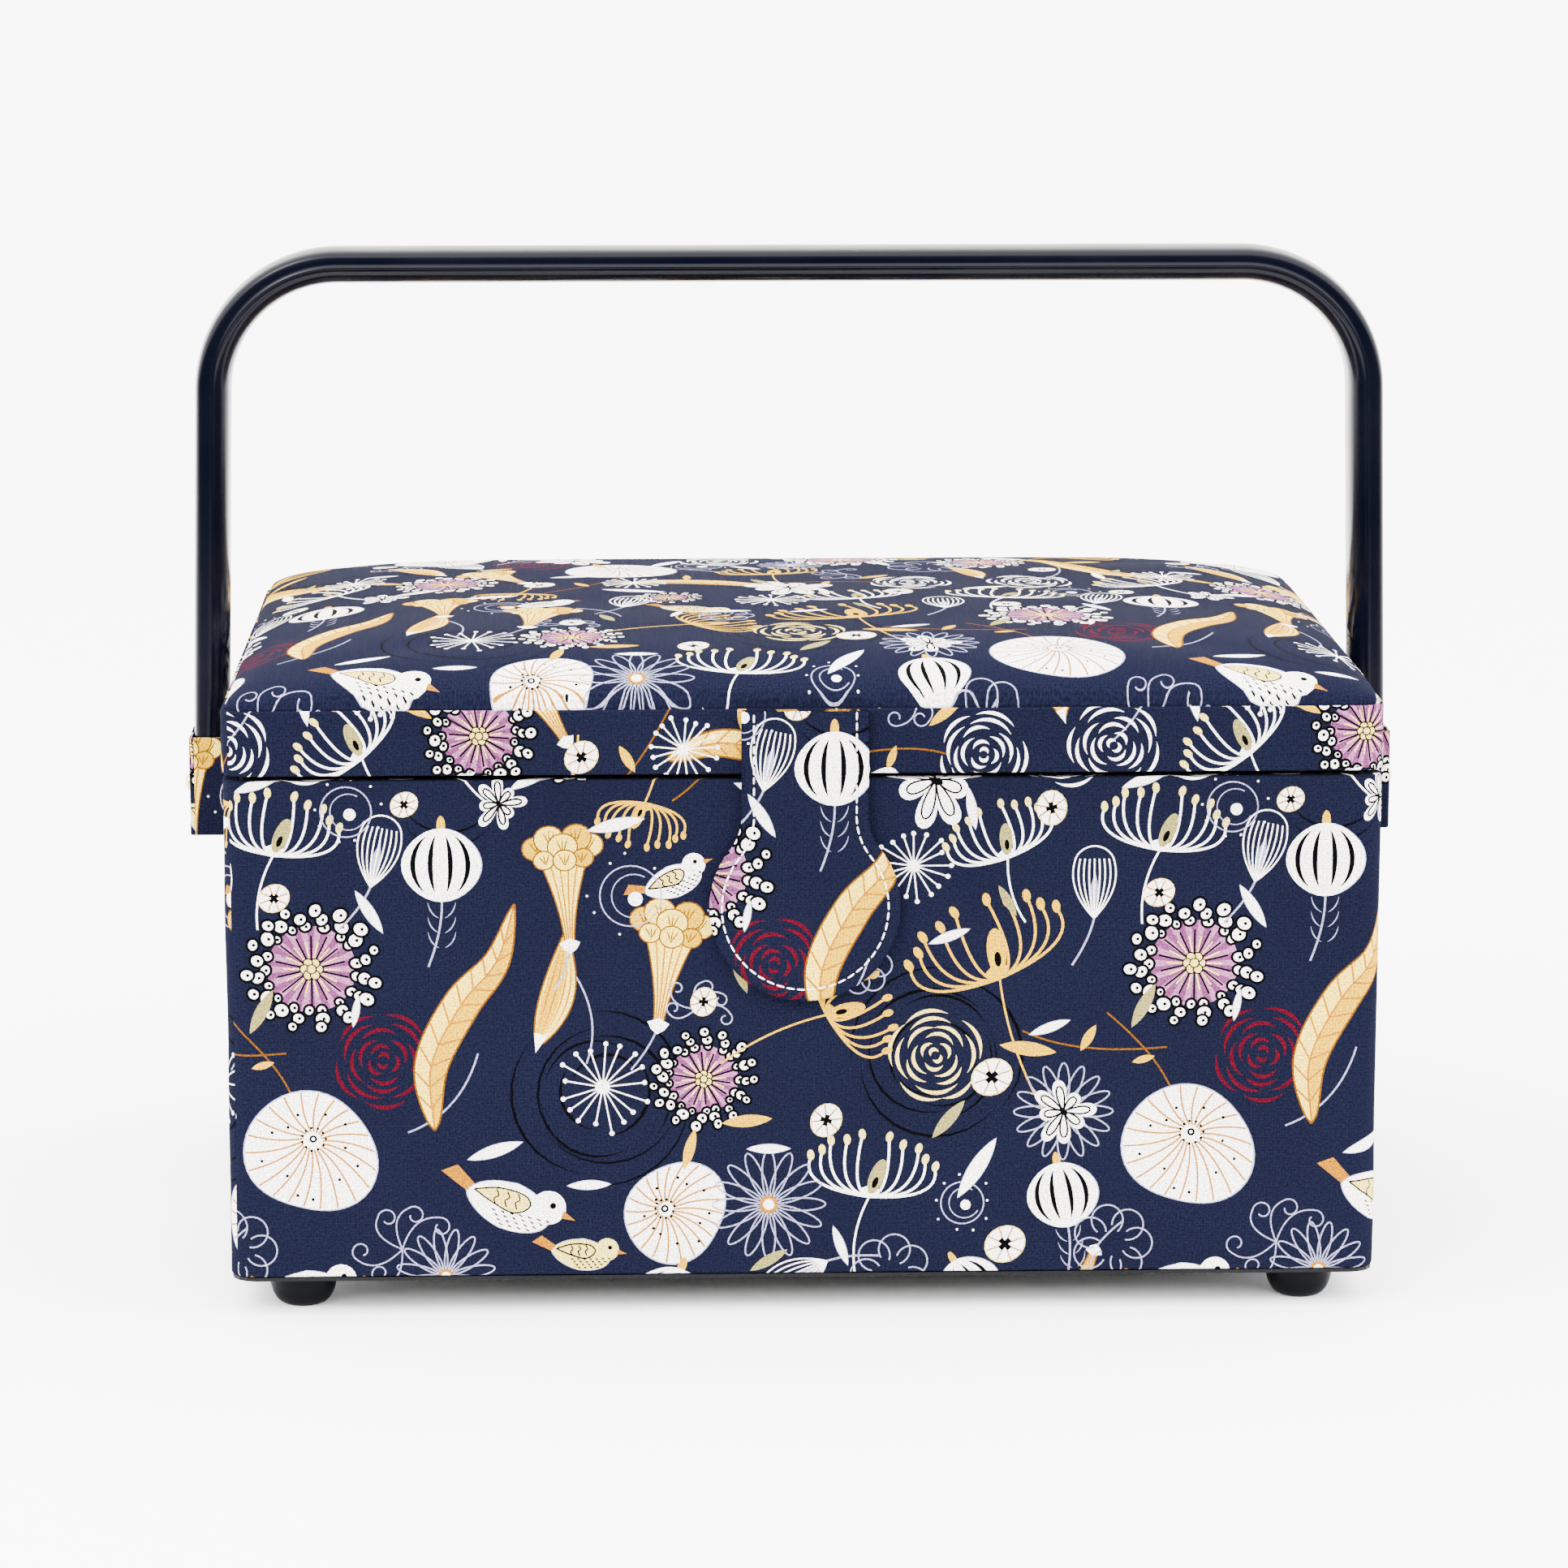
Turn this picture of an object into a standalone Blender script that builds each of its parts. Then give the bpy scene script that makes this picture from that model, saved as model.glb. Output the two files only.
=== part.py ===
"""Sewing box with trays: a cloth-covered board box on four feet, with a padded lid,
a magnetic closing flap, a carrying handle on two rivets and two lift-out trays.

Metres, +Z up. X runs along the box, -Y is the front with the flap.
The origin is on the floor, under the middle of the whole object.
"""
import math

import bmesh
import bpy
from mathutils import Matrix, Vector

# ---- driving dimensions -------------------------------------------------------------
GAP = 0.0003            # between pieces that touch
CLOTH = 0.0008          # cloth with its backing paper
BOARD = 0.003           # grey board of the walls, base and lid frame

BODY_WIDTH = 0.320
BODY_DEPTH = 0.230
CORNER_R = 0.007
FOOT_H = 0.010
SHEET_T = 0.001
RIM_Z = 0.1515          # top of the open box

LID_OVERHANG = 0.0003
LID_BOTTOM_Z = 0.153
LID_TOP_Z = 0.171       # top edge of the lid's straight band
CROWN_H = 0.0113        # padded top above the band

FLAP_LENGTH = 0.0814
FLAP_NECK_HALF = 0.0175
FLAP_BULB_R = 0.0264
FLAP_FILLET_R = 0.0151
FLAP_CLOTH = 0.0006
FLAP_CARD = 0.0012
FLAP_CLEARANCE = 0.0004

HINGE_STRIP_HALF = 0.140
HINGE_STRIP_T = 0.0006

PIVOT_Z = 0.1304
HANDLE_TOP_Z = 0.288
HANDLE_T = 0.0104
HANDLE_HALF_WIDTH = 0.010
HANDLE_FOOT_X = 0.1754
HANDLE_SHOULDER_X = 0.1733
HANDLE_BEND_R = 0.042
HANDLE_LEAN_Z = 0.150   # the legs are upright below this
HANDLE_FOOT_DROP = 0.011
TANG_X = 0.1664         # inner face of the thinned ends, inside the sleeves
TANG_TOP = 0.0158       # above the pivot
SLEEVE_T = 0.0009
SLEEVE_INNER_X = 0.1652
SLEEVE_BELOW = 0.014
SLEEVE_ABOVE = 0.015
SLEEVE_CORNER_R = 0.0012
SHANK_R = 0.0015
HOLE_R = 0.0018

RIVET_HEAD_R = 0.0026
RIVET_HEAD_H = 0.0016
WASHER_R = 0.005
WASHER_T = 0.0008
CLINCH_R = 0.0032
CLINCH_H = 0.0009
SPACER_R = 0.0048

TRAY_WIDTH = 0.150
TRAY_DEPTH = 0.200
TRAY_HEIGHT = 0.0355
TRAY_BASE_Z = 0.101
TRAY_WALL = 0.0016
TRAY_CORNER_R = 0.006
TRAY_HALF_GAP = 0.0007  # from the middle of the box to each tray
LONG_CELL_D = 0.058
CELL_CORNER_R = 0.0045

LEDGE_H = 0.012
LEDGE_T = 0.005
LEDGE_HALF = 0.145
LEDGE_EDGE_R = 0.0006

CROWN_SKIRT = 0.0009
CROWN_GAP = 0.0001
FOAM_SKIRT = 0.0004
FOAM_CORNER_R = 0.003
CROWN_BULGE = 3.2
CROWN_SOFTNESS = 0.55
CROWN_CELLS = 14
FOAM_INSET = 0.007
FOAM_CLEARANCE = 0.0028
INNER_CORNER_R = 0.0026

HINGE_LOWER_Z = 0.138
HINGE_UPPER_H = 0.014
HINGE_LAP = 0.0002
HINGE_OVER = 0.0004

CUSHION_LOW = (-0.130, -0.045)
CUSHION_HIGH = (-0.030, 0.045)
CUSHION_H = 0.011
POCKET_LOW = (0.000, -0.070)
POCKET_HIGH = (0.090, 0.050)
POCKET_H = 0.002
ELASTIC_LOW = (0.001, 0.0503)
ELASTIC_HIGH = (0.089, 0.0535)
ELASTIC_H = 0.0035

MAGNET_R = 0.006
BODY_MAGNET_T = 0.0024
CARD_INSET = 0.0008
MAGNET_SINK = 0.0002

# ---- sizes that follow --------------------------------------------------------------
HALF_W = BODY_WIDTH / 2
HALF_D = BODY_DEPTH / 2
LID_HALF_W = HALF_W + LID_OVERHANG
LID_HALF_D = HALF_D + LID_OVERHANG
FLAP_T = 2 * FLAP_CLOTH + FLAP_CARD + 2 * GAP
FRONT_REACH = LID_HALF_D + FLAP_CLEARANCE + FLAP_T
BACK_REACH = LID_HALF_D + GAP + HINGE_STRIP_T
MID_Y = (FRONT_REACH - BACK_REACH) / 2      # the box's middle, so the whole is centred

SHEET_TOP = FOOT_H + SHEET_T
BASE_Z = SHEET_TOP + GAP
BASE_TOP = BASE_Z + BOARD
WALL_Z = BASE_TOP + GAP
WALL_TOP = RIM_Z - GAP
BOARD_INSET = CLOTH + GAP
LINING_INSET = BOARD_INSET + BOARD + GAP
FLOOR_TOP = WALL_Z + CLOTH

FLAP_TOP_Z = LID_TOP_Z
FLAP_BACK_Y = MID_Y - LID_HALF_D - FLAP_CLEARANCE
FLAP_BULB_Z = FLAP_TOP_Z - FLAP_LENGTH + FLAP_BULB_R

FOOT_R = 0.0095
FOOT_IN_X = 0.0195      # foot centre, in from the side and from the front
FOOT_IN_Y = 0.016
FOOT_PLACES = {
    "front_left": (-1, -1), "front_right": (1, -1),
    "back_left": (-1, 1), "back_right": (1, 1),
}

COLOURS = {
    "printed_cloth": ((0.045, 0.060, 0.150), 0.85, 0.0),
    "board": ((0.42, 0.38, 0.32), 0.9, 0.0),
    "dark_vinyl": ((0.012, 0.013, 0.020), 0.5, 0.0),
    "lining": ((0.80, 0.74, 0.62), 0.9, 0.0),
    "foam": ((0.85, 0.83, 0.76), 0.95, 0.0),
    "navy_plastic": ((0.006, 0.010, 0.040), 0.12, 0.0),
    "foot_plastic": ((0.010, 0.013, 0.030), 0.4, 0.0),
    "tray_plastic": ((0.86, 0.86, 0.84), 0.3, 0.0),
    "brass": ((0.75, 0.53, 0.22), 0.25, 1.0),
    "steel": ((0.60, 0.60, 0.62), 0.3, 1.0),
    "magnet": ((0.45, 0.45, 0.47), 0.3, 1.0),
    "cushion": ((0.45, 0.04, 0.06), 0.9, 0.0),
    "elastic": ((0.90, 0.88, 0.84), 0.9, 0.0),
}


# ---- small helpers ------------------------------------------------------------------
def new_scene():
    """Empty the file and make the two collections."""
    for thing in list(bpy.data.objects):
        bpy.data.objects.remove(thing, do_unlink=True)
    groups = {}
    for name in ("sewing_box", "cutters"):
        groups[name] = bpy.data.collections.new(name)
        bpy.context.scene.collection.children.link(groups[name])
    return groups


def make_materials():
    """One Principled material for each finish."""
    made = {}
    for name, (colour, roughness, metallic) in COLOURS.items():
        material = bpy.data.materials.new(name)
        material.use_nodes = True
        shader = material.node_tree.nodes["Principled BSDF"]
        shader.inputs["Base Color"].default_value = (*colour, 1.0)
        shader.inputs["Roughness"].default_value = roughness
        shader.inputs["Metallic"].default_value = metallic
        made[name] = material
    return made


GROUPS = new_scene()
MATERIALS = make_materials()


def add_part(name, mesh, finish, place=(0, 0, 0), parent=None):
    """A named part in the object's collection, in its own copy of its finish."""
    part = bpy.data.objects.new(name, mesh)
    material = MATERIALS[finish].copy()
    material.name = f"{name}_{finish}"
    mesh.materials.append(material)
    part.location = place
    part.parent = parent
    GROUPS["sewing_box"].objects.link(part)
    return part


def add_cutter(name, mesh, place=(0, 0, 0)):
    """A hidden shape that only cuts others."""
    cutter = bpy.data.objects.new(name, mesh)
    cutter.location = place
    cutter.display_type = "WIRE"
    cutter.hide_render = True
    GROUPS["cutters"].objects.link(cutter)
    return cutter


def cut(part, cutter, operation="DIFFERENCE"):
    """Boolean with the exact solver."""
    step = part.modifiers.new(cutter.name, "BOOLEAN")
    step.operation = operation
    step.solver = "EXACT"
    step.object = cutter


def joint_empty(name, place):
    """The parent of a moving body, on its joint's axis."""
    empty = bpy.data.objects.new(name, None)
    empty.location = place
    GROUPS["sewing_box"].objects.link(empty)
    return empty


def box_mesh(name, low, high, corner_r=0.0, segments=4, edge_r=0.0):
    """A box from corner to corner: its upright edges rounded, then all its edges."""
    shape = bmesh.new()
    bmesh.ops.create_cube(shape, size=1.0)
    low, high = Vector(low), Vector(high)
    for vert in shape.verts:
        vert.co = Vector(
            low[i] + (vert.co[i] + 0.5) * (high[i] - low[i]) for i in range(3))
    if corner_r:
        upright = [e for e in shape.edges
                   if abs(e.verts[0].co.z - e.verts[1].co.z) > 1e-6]
        bmesh.ops.bevel(shape, geom=upright, offset=corner_r, segments=segments,
                        profile=0.5, affect="EDGES")
    if edge_r:
        flat = [f for f in shape.faces if abs(f.normal.z) > 0.9]
        rims = {e for f in flat for e in f.edges}
        bmesh.ops.bevel(shape, geom=list(rims), offset=edge_r, segments=2,
                        profile=0.5, affect="EDGES")
    mesh = bpy.data.meshes.new(name)
    shape.to_mesh(mesh)
    shape.free()
    return mesh


def plate(name, half_w, half_d, z0, z1, corner_r, finish, parent=None):
    """A flat sheet with rounded corners, centred on the box."""
    origin = parent.location if parent else Vector((0, 0, 0))
    low = Vector((-half_w, MID_Y - half_d, z0)) - origin
    high = Vector((half_w, MID_Y + half_d, z1)) - origin
    return add_part(name, box_mesh(name, low, high, corner_r), finish, parent=parent)


def ring_mesh(name, half_w, half_d, z0, z1, corner_r, closed_top=False, origin=(0, 0, 0)):
    """The upright faces of a rounded box, facing out, with or without its top."""
    origin = Vector(origin)
    low = Vector((-half_w, MID_Y - half_d, z0)) - origin
    high = Vector((half_w, MID_Y + half_d, z1)) - origin
    mesh = box_mesh(name, low, high, corner_r)
    shape = bmesh.new()
    shape.from_mesh(mesh)
    gone = [f for f in shape.faces if f.normal.z < -0.9
            or (f.normal.z > 0.9 and not closed_top)]
    bmesh.ops.delete(shape, geom=gone, context="FACES")
    shape.to_mesh(mesh)
    shape.free()
    return mesh


def thicken(part, thickness):
    """Give an open surface its wall, inwards."""
    wall = part.modifiers.new("wall", "SOLIDIFY")
    wall.thickness = thickness
    wall.offset = -1
    wall.use_even_offset = True


def ring(name, half_w, half_d, z0, z1, corner_r, wall, finish, parent=None,
         closed_top=False):
    """A rounded band round the box, its outer face where stated."""
    origin = parent.location if parent else (0, 0, 0)
    mesh = ring_mesh(name, half_w, half_d, z0, z1, corner_r, closed_top, origin)
    part = add_part(name, mesh, finish, parent=parent)
    thicken(part, wall)
    return part


def turned_mesh(name, profile, steps=24):
    """A closed profile of (radius, height) points turned about Z by a Screw."""
    mesh = bpy.data.meshes.new(name)
    shape = bmesh.new()
    points = [shape.verts.new((r, 0, z)) for r, z in profile]
    for first, second in zip(points, points[1:]):
        shape.edges.new((first, second))
    if profile[0][0] > 0:
        shape.edges.new((points[-1], points[0]))
    shape.to_mesh(mesh)
    shape.free()
    guide = add_cutter(f"{name}_turning", mesh)
    turn = guide.modifiers.new("turn", "SCREW")
    turn.steps = turn.render_steps = steps
    turn.use_merge_vertices = True
    turn.merge_threshold = 0.00001
    turn.use_smooth_shade = True
    return finished_mesh(guide, name)


def finished_mesh(guide, name):
    """The mesh that a guide's modifiers or curve give; the guide is removed."""
    seen = bpy.context.evaluated_depsgraph_get()
    mesh = bpy.data.meshes.new_from_object(guide.evaluated_get(seen), depsgraph=seen)
    mesh.name = name
    shape = bmesh.new()
    shape.from_mesh(mesh)
    bmesh.ops.remove_doubles(shape, verts=shape.verts, dist=0.000005)
    shape.to_mesh(mesh)
    shape.free()
    bpy.data.objects.remove(guide, do_unlink=True)
    return mesh


def disc_mesh(name, radius, depth, segments=24):
    """A plain cylinder along Z, centred."""
    shape = bmesh.new()
    bmesh.ops.create_cone(shape, cap_ends=True, segments=segments, radius1=radius,
                          radius2=radius, depth=depth)
    mesh = bpy.data.meshes.new(name)
    shape.to_mesh(mesh)
    shape.free()
    return mesh


def arc(centre_x, centre_z, radius, start, stop, steps):
    """Points on an arc, angles in degrees from +X towards +Z."""
    return [(centre_x + radius * math.cos(math.radians(start + (stop - start) * i / steps)),
             centre_z + radius * math.sin(math.radians(start + (stop - start) * i / steps)))
            for i in range(steps + 1)]


def outline_mesh(name, points, half_thickness, holes=()):
    """A flat outline in the XZ plane, extruded along Y as a 2D curve."""
    curve = bpy.data.curves.new(name, "CURVE")
    curve.dimensions = "2D"
    curve.fill_mode = "BOTH"
    curve.extrude = half_thickness
    for loop in (points, *holes):
        spline = curve.splines.new("POLY")
        spline.points.add(len(loop) - 1)
        for point, (x, z) in zip(spline.points, loop):
            point.co = (x, z, 0, 1)
        spline.use_cyclic_u = True
    guide = bpy.data.objects.new(name, curve)
    GROUPS["cutters"].objects.link(guide)
    mesh = finished_mesh(guide, name)
    shape = bmesh.new()
    shape.from_mesh(mesh)
    bmesh.ops.dissolve_limit(shape, angle_limit=0.001, verts=shape.verts,
                             edges=shape.edges)
    bmesh.ops.rotate(shape, verts=shape.verts,
                     matrix=Matrix.Rotation(math.pi / 2, 3, "X"))
    shape.to_mesh(mesh)
    shape.free()
    return mesh


def side_hole_cutter(side, radius=HOLE_R, reach=0.04):
    """A cylinder along X through one side, on the handle's pivot."""
    label = "left" if side < 0 else "right"
    cutter = add_cutter(f"pivot_hole_{label}", disc_mesh("pivot_hole", radius, reach),
                        (side * HALF_W, MID_Y, PIVOT_Z))
    cutter.rotation_euler = (0, math.pi / 2, 0)
    return cutter


# ---- the box ------------------------------------------------------------------------
def foot_centre(side, end):
    return (side * (HALF_W - FOOT_IN_X), MID_Y + end * (HALF_D - FOOT_IN_Y))


def make_base(screw_holes):
    """Vinyl sheet underneath, then the base board, both drilled for the feet."""
    sheet = plate("base_sheet", HALF_W - GAP, HALF_D - GAP, FOOT_H, SHEET_TOP, CORNER_R,
                  "dark_vinyl")
    board = plate("base_board", HALF_W - BOARD_INSET, HALF_D - BOARD_INSET, BASE_Z,
                  BASE_TOP, CORNER_R - BOARD_INSET, "board")
    for cutter in screw_holes:
        cut(sheet, cutter)
        cut(board, cutter)


def make_feet():
    """Domed plastic feet, each on one pan-head screw up into the base board."""
    flat_r, recess_r, recess_h, shank_r = 0.005, 0.0028, 0.0026, 0.0012
    top = FOOT_H - GAP
    dome = [(flat_r + (FOOT_R - flat_r) * math.cos(math.radians(a)),
             top - 0.0015 - (top - 0.0015) * math.sin(math.radians(a)))
            for a in range(0, 91, 15)]
    foot_profile = [(FOOT_R, top), *dome, (recess_r, 0), (recess_r, recess_h),
                    (HOLE_R, recess_h), (HOLE_R, top)]
    screw_profile = [(0, BASE_TOP - 0.0006), (shank_r, BASE_TOP - 0.0014),
                     (shank_r, recess_h - GAP), (0.0023, recess_h - GAP),
                     (0.0023, 0.0014), (0.0016, 0.0006), (0, 0.0005)]
    foot_mesh = turned_mesh("foot", foot_profile, steps=28)
    screw_mesh = turned_mesh("foot_screw", screw_profile, steps=16)
    hole = disc_mesh("screw_hole", HOLE_R, 0.012, 20)
    cutters = []
    for label, (side, end) in FOOT_PLACES.items():
        x, y = foot_centre(side, end)
        add_part(f"foot_{label}", foot_mesh.copy(), "foot_plastic", (x, y, 0))
        add_part(f"foot_screw_{label}", screw_mesh.copy(), "steel", (x, y, 0))
        cutters.append(add_cutter(f"screw_hole_{label}", hole, (x, y, BASE_Z)))
    return cutters


def make_walls(pivot_holes):
    """Four boards: the front and back ones carry the rounded corners."""
    bend_y = HALF_D - CORNER_R
    for name, facing in (("wall_front", (0, -1)), ("wall_back", (0, 1)),
                         ("wall_left", (-1, 0)), ("wall_right", (1, 0))):
        wall = ring(name, HALF_W - BOARD_INSET, HALF_D - BOARD_INSET, WALL_Z, WALL_TOP,
                    CORNER_R - BOARD_INSET, BOARD, "board")
        across, along = facing
        if along:
            low = (-0.2, MID_Y + (bend_y if along > 0 else -0.2), 0)
            high = (0.2, MID_Y + (0.2 if along > 0 else -bend_y), 0.2)
        else:
            low = (0.1 if across > 0 else -0.2, MID_Y - bend_y + GAP, 0)
            high = (0.2 if across > 0 else -0.1, MID_Y + bend_y - GAP, 0.2)
        cut(wall, add_cutter(f"{name}_part", box_mesh(name, low, high)), "INTERSECT")
        if across:
            cut(wall, pivot_holes[across])
        if along < 0:
            cut(wall, make_magnet_hole())


def make_magnet_hole():
    """A round seat right through the front wall for its magnet."""
    hole = add_cutter("magnet_seat", disc_mesh("magnet_seat", MAGNET_R + GAP, 0.012),
                      (0, MID_Y - HALF_D, FLAP_BULB_Z))
    hole.rotation_euler = (math.pi / 2, 0, 0)
    return hole


def make_covers(pivot_holes):
    """Printed cloth outside, plain lining inside, both drilled for the rivets."""
    cover = ring("cover_wrap", HALF_W, HALF_D, BASE_Z, RIM_Z, CORNER_R, CLOTH,
                 "printed_cloth")
    plate("lining_floor", HALF_W - LINING_INSET, HALF_D - LINING_INSET, WALL_Z, FLOOR_TOP,
          INNER_CORNER_R, "lining")
    lining = ring("lining_wrap", HALF_W - LINING_INSET, HALF_D - LINING_INSET,
                  FLOOR_TOP + GAP, WALL_TOP, INNER_CORNER_R, CLOTH, "lining")
    for cutter in pivot_holes.values():
        cut(cover, cutter)
        cut(lining, cutter)


def make_ledges():
    """Two covered strips, front and back, that carry both trays."""
    inner = HALF_D - LINING_INSET - CLOTH - GAP
    for name, end in (("tray_ledge_front", -1), ("tray_ledge_back", 1)):
        edges = sorted((MID_Y + end * inner, MID_Y + end * (inner - LEDGE_T)))
        low = (-LEDGE_HALF, edges[0], TRAY_BASE_Z - GAP - LEDGE_H)
        high = (LEDGE_HALF, edges[1], TRAY_BASE_Z - GAP)
        add_part(name, box_mesh(name, low, high, edge_r=LEDGE_EDGE_R), "lining")


def make_body_magnet():
    magnet = add_part("body_magnet", disc_mesh("body_magnet", MAGNET_R, BODY_MAGNET_T), "magnet",
                      (0, MID_Y - HALF_D + BOARD_INSET + BOARD / 2, FLAP_BULB_Z))
    magnet.rotation_euler = (math.pi / 2, 0, 0)


def make_hinge_strip(name, y, z0, z1, parent=None):
    """One half of the cloth hinge along the back edge."""
    origin = parent.location if parent else Vector((0, 0, 0))
    low = Vector((-HINGE_STRIP_HALF, y, z0)) - origin
    high = Vector((HINGE_STRIP_HALF, y + HINGE_STRIP_T, z1)) - origin
    add_part(name, box_mesh(name, low, high), "printed_cloth", parent=parent)


# ---- the lid ------------------------------------------------------------------------
def crown_mesh(name, half_w, half_d, base_z, skirt, rise, corner_r, origin, closed):
    """A domed cushion on a low upright skirt.

    Height above the skirt: rise x (1 - |x/half_w|^n)^m x (1 - |y/half_d|^n)^m.
    """
    shape = bmesh.new()
    bmesh.ops.create_grid(shape, x_segments=CROWN_CELLS, y_segments=CROWN_CELLS, size=1.0)
    for vert in shape.verts:
        u = math.sin(vert.co.x * math.pi / 2)
        v = math.sin(vert.co.y * math.pi / 2)
        share = ((1 - abs(u) ** CROWN_BULGE) * (1 - abs(v) ** CROWN_BULGE)) ** CROWN_SOFTNESS
        x, y = round_corner(u * half_w, v * half_d, half_w, half_d, corner_r)
        vert.co = Vector((x, MID_Y + y, base_z + skirt + rise * share)) - origin
    rim = [e for e in shape.edges if e.is_boundary]
    wall = bmesh.ops.extrude_edge_only(shape, edges=rim)["geom"]
    for vert in (g for g in wall if isinstance(g, bmesh.types.BMVert)):
        vert.co.z = base_z - origin.z
    if closed:
        rim = [e for e in shape.edges if e.is_boundary]
        bmesh.ops.contextual_create(shape, geom=rim)
    bmesh.ops.recalc_face_normals(shape, faces=shape.faces)
    mesh = bpy.data.meshes.new(name)
    shape.to_mesh(mesh)
    shape.free()
    mesh.shade_smooth()
    return mesh


def round_corner(x, y, half_w, half_d, radius):
    """Pull a point of the square corner in onto the rounded one."""
    over_x = abs(x) - (half_w - radius)
    over_y = abs(y) - (half_d - radius)
    if over_x <= 0 or over_y <= 0:
        return x, y
    pull = max(over_x, over_y) / math.hypot(over_x, over_y)
    return (math.copysign(half_w - radius + over_x * pull, x),
            math.copysign(half_d - radius + over_y * pull, y))


def make_lid(lid):
    """Board frame and top, foam, printed cover, band and lining."""
    frame_top = LID_TOP_Z - BOARD - GAP
    ring("lid_band_cover", LID_HALF_W, LID_HALF_D, LID_BOTTOM_Z, LID_TOP_Z, CORNER_R,
         CLOTH, "printed_cloth", lid)
    ring("lid_frame", LID_HALF_W - BOARD_INSET, LID_HALF_D - BOARD_INSET,
         LID_BOTTOM_Z + GAP, frame_top, CORNER_R - BOARD_INSET, BOARD, "board", lid)
    plate("lid_board", LID_HALF_W - BOARD_INSET, LID_HALF_D - BOARD_INSET,
          frame_top + GAP, LID_TOP_Z - 2 * GAP, CORNER_R - BOARD_INSET, "board", lid)
    plate("lid_lining", LID_HALF_W - LINING_INSET, LID_HALF_D - LINING_INSET,
          frame_top - CLOTH, frame_top, INNER_CORNER_R, "lining", lid)
    base = LID_TOP_Z - GAP
    inset = BOARD_INSET + CROWN_GAP
    cover = add_part("lid_cover", crown_mesh(
        "lid_cover", LID_HALF_W - inset, LID_HALF_D - inset, base, CROWN_SKIRT,
        CROWN_H - CROWN_SKIRT, CORNER_R - inset, lid.location, False), "printed_cloth", parent=lid)
    thicken(cover, CLOTH)
    add_part("lid_foam", crown_mesh(
        "lid_foam", LID_HALF_W - FOAM_INSET, LID_HALF_D - FOAM_INSET, base + CROWN_GAP,
        FOAM_SKIRT, CROWN_H - FOAM_CLEARANCE, FOAM_CORNER_R, lid.location, True),
        "foam", parent=lid)


def make_lid_fittings(lid):
    """A pin cushion and a flat pocket with an elastic edge, under the lid."""
    ceiling = LID_TOP_Z - BOARD - 2 * GAP - CLOTH - GAP
    def under(name, low, high, height, corner_r, segments, edge_r=0.0):
        return box_mesh(name, (low[0], MID_Y + low[1], ceiling - height),
                        (high[0], MID_Y + high[1], ceiling), corner_r, segments, edge_r)

    cushion_mesh = under("pin_cushion", CUSHION_LOW, CUSHION_HIGH, CUSHION_H, 0.012, 4, 0.003)
    pocket_mesh = under("lid_pocket", POCKET_LOW, POCKET_HIGH, POCKET_H, 0.004, 3)
    edge_mesh = under("pocket_elastic", ELASTIC_LOW, ELASTIC_HIGH, ELASTIC_H, 0.0, 3, 0.0008)
    for name, mesh, finish in (("pin_cushion", cushion_mesh, "cushion"),
                               ("lid_pocket", pocket_mesh, "lining"),
                               ("pocket_elastic", edge_mesh, "elastic")):
        mesh.transform(Matrix.Translation(-lid.location))
        add_part(name, mesh, finish, parent=lid)


# ---- the flap -----------------------------------------------------------------------
def flap_outline(inset):
    """A straight neck that flares through two hollow arcs into a round end."""
    neck, bulb_r = FLAP_NECK_HALF - inset, FLAP_BULB_R - inset
    fillet_r = FLAP_FILLET_R + inset
    fillet_x = neck + fillet_r
    reach = bulb_r + fillet_r
    fillet_z = FLAP_BULB_Z + math.sqrt(reach ** 2 - fillet_x ** 2)
    meet = math.degrees(math.atan2(fillet_z - FLAP_BULB_Z, fillet_x))
    top = FLAP_TOP_Z - inset
    right = [(neck, top), *arc(fillet_x, fillet_z, fillet_r, 180, 180 + meet, 6)]
    round_end = arc(0, FLAP_BULB_Z, bulb_r, meet, -180 - meet, 32)
    left = [(-x, z) for x, z in reversed(right)]
    return right + round_end[1:-1] + left


def make_flap(flap):
    """Front cloth, card core with a magnet in it, back cloth."""
    seat = arc(0, FLAP_BULB_Z, MAGNET_R + GAP, 0, 360, 24)[:-1]
    y = FLAP_BACK_Y - FLAP_CLOTH / 2
    layers = (("flap_back_cloth", FLAP_CLOTH, 0, "printed_cloth", ()),
              ("flap_card", FLAP_CARD, CARD_INSET, "board", (seat,)),
              ("flap_front_cloth", FLAP_CLOTH, 0, "printed_cloth", ()))
    last = FLAP_CLOTH
    for name, thickness, inset, finish, holes in layers:
        if name != "flap_back_cloth":
            y -= (last + thickness) / 2 + GAP
        mesh = outline_mesh(name, flap_outline(inset), thickness / 2, holes)
        part = add_part(name, mesh, finish, Vector((0, y, 0)) - flap.location, flap)
        last = thickness
        if holes:
            card_y = part.location.y
    magnet = add_part("flap_magnet", disc_mesh("flap_magnet", MAGNET_R, FLAP_CARD - MAGNET_SINK),
                      "magnet", (0, card_y, FLAP_BULB_Z - flap.location.z), flap)
    magnet.rotation_euler = (math.pi / 2, 0, 0)


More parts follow.
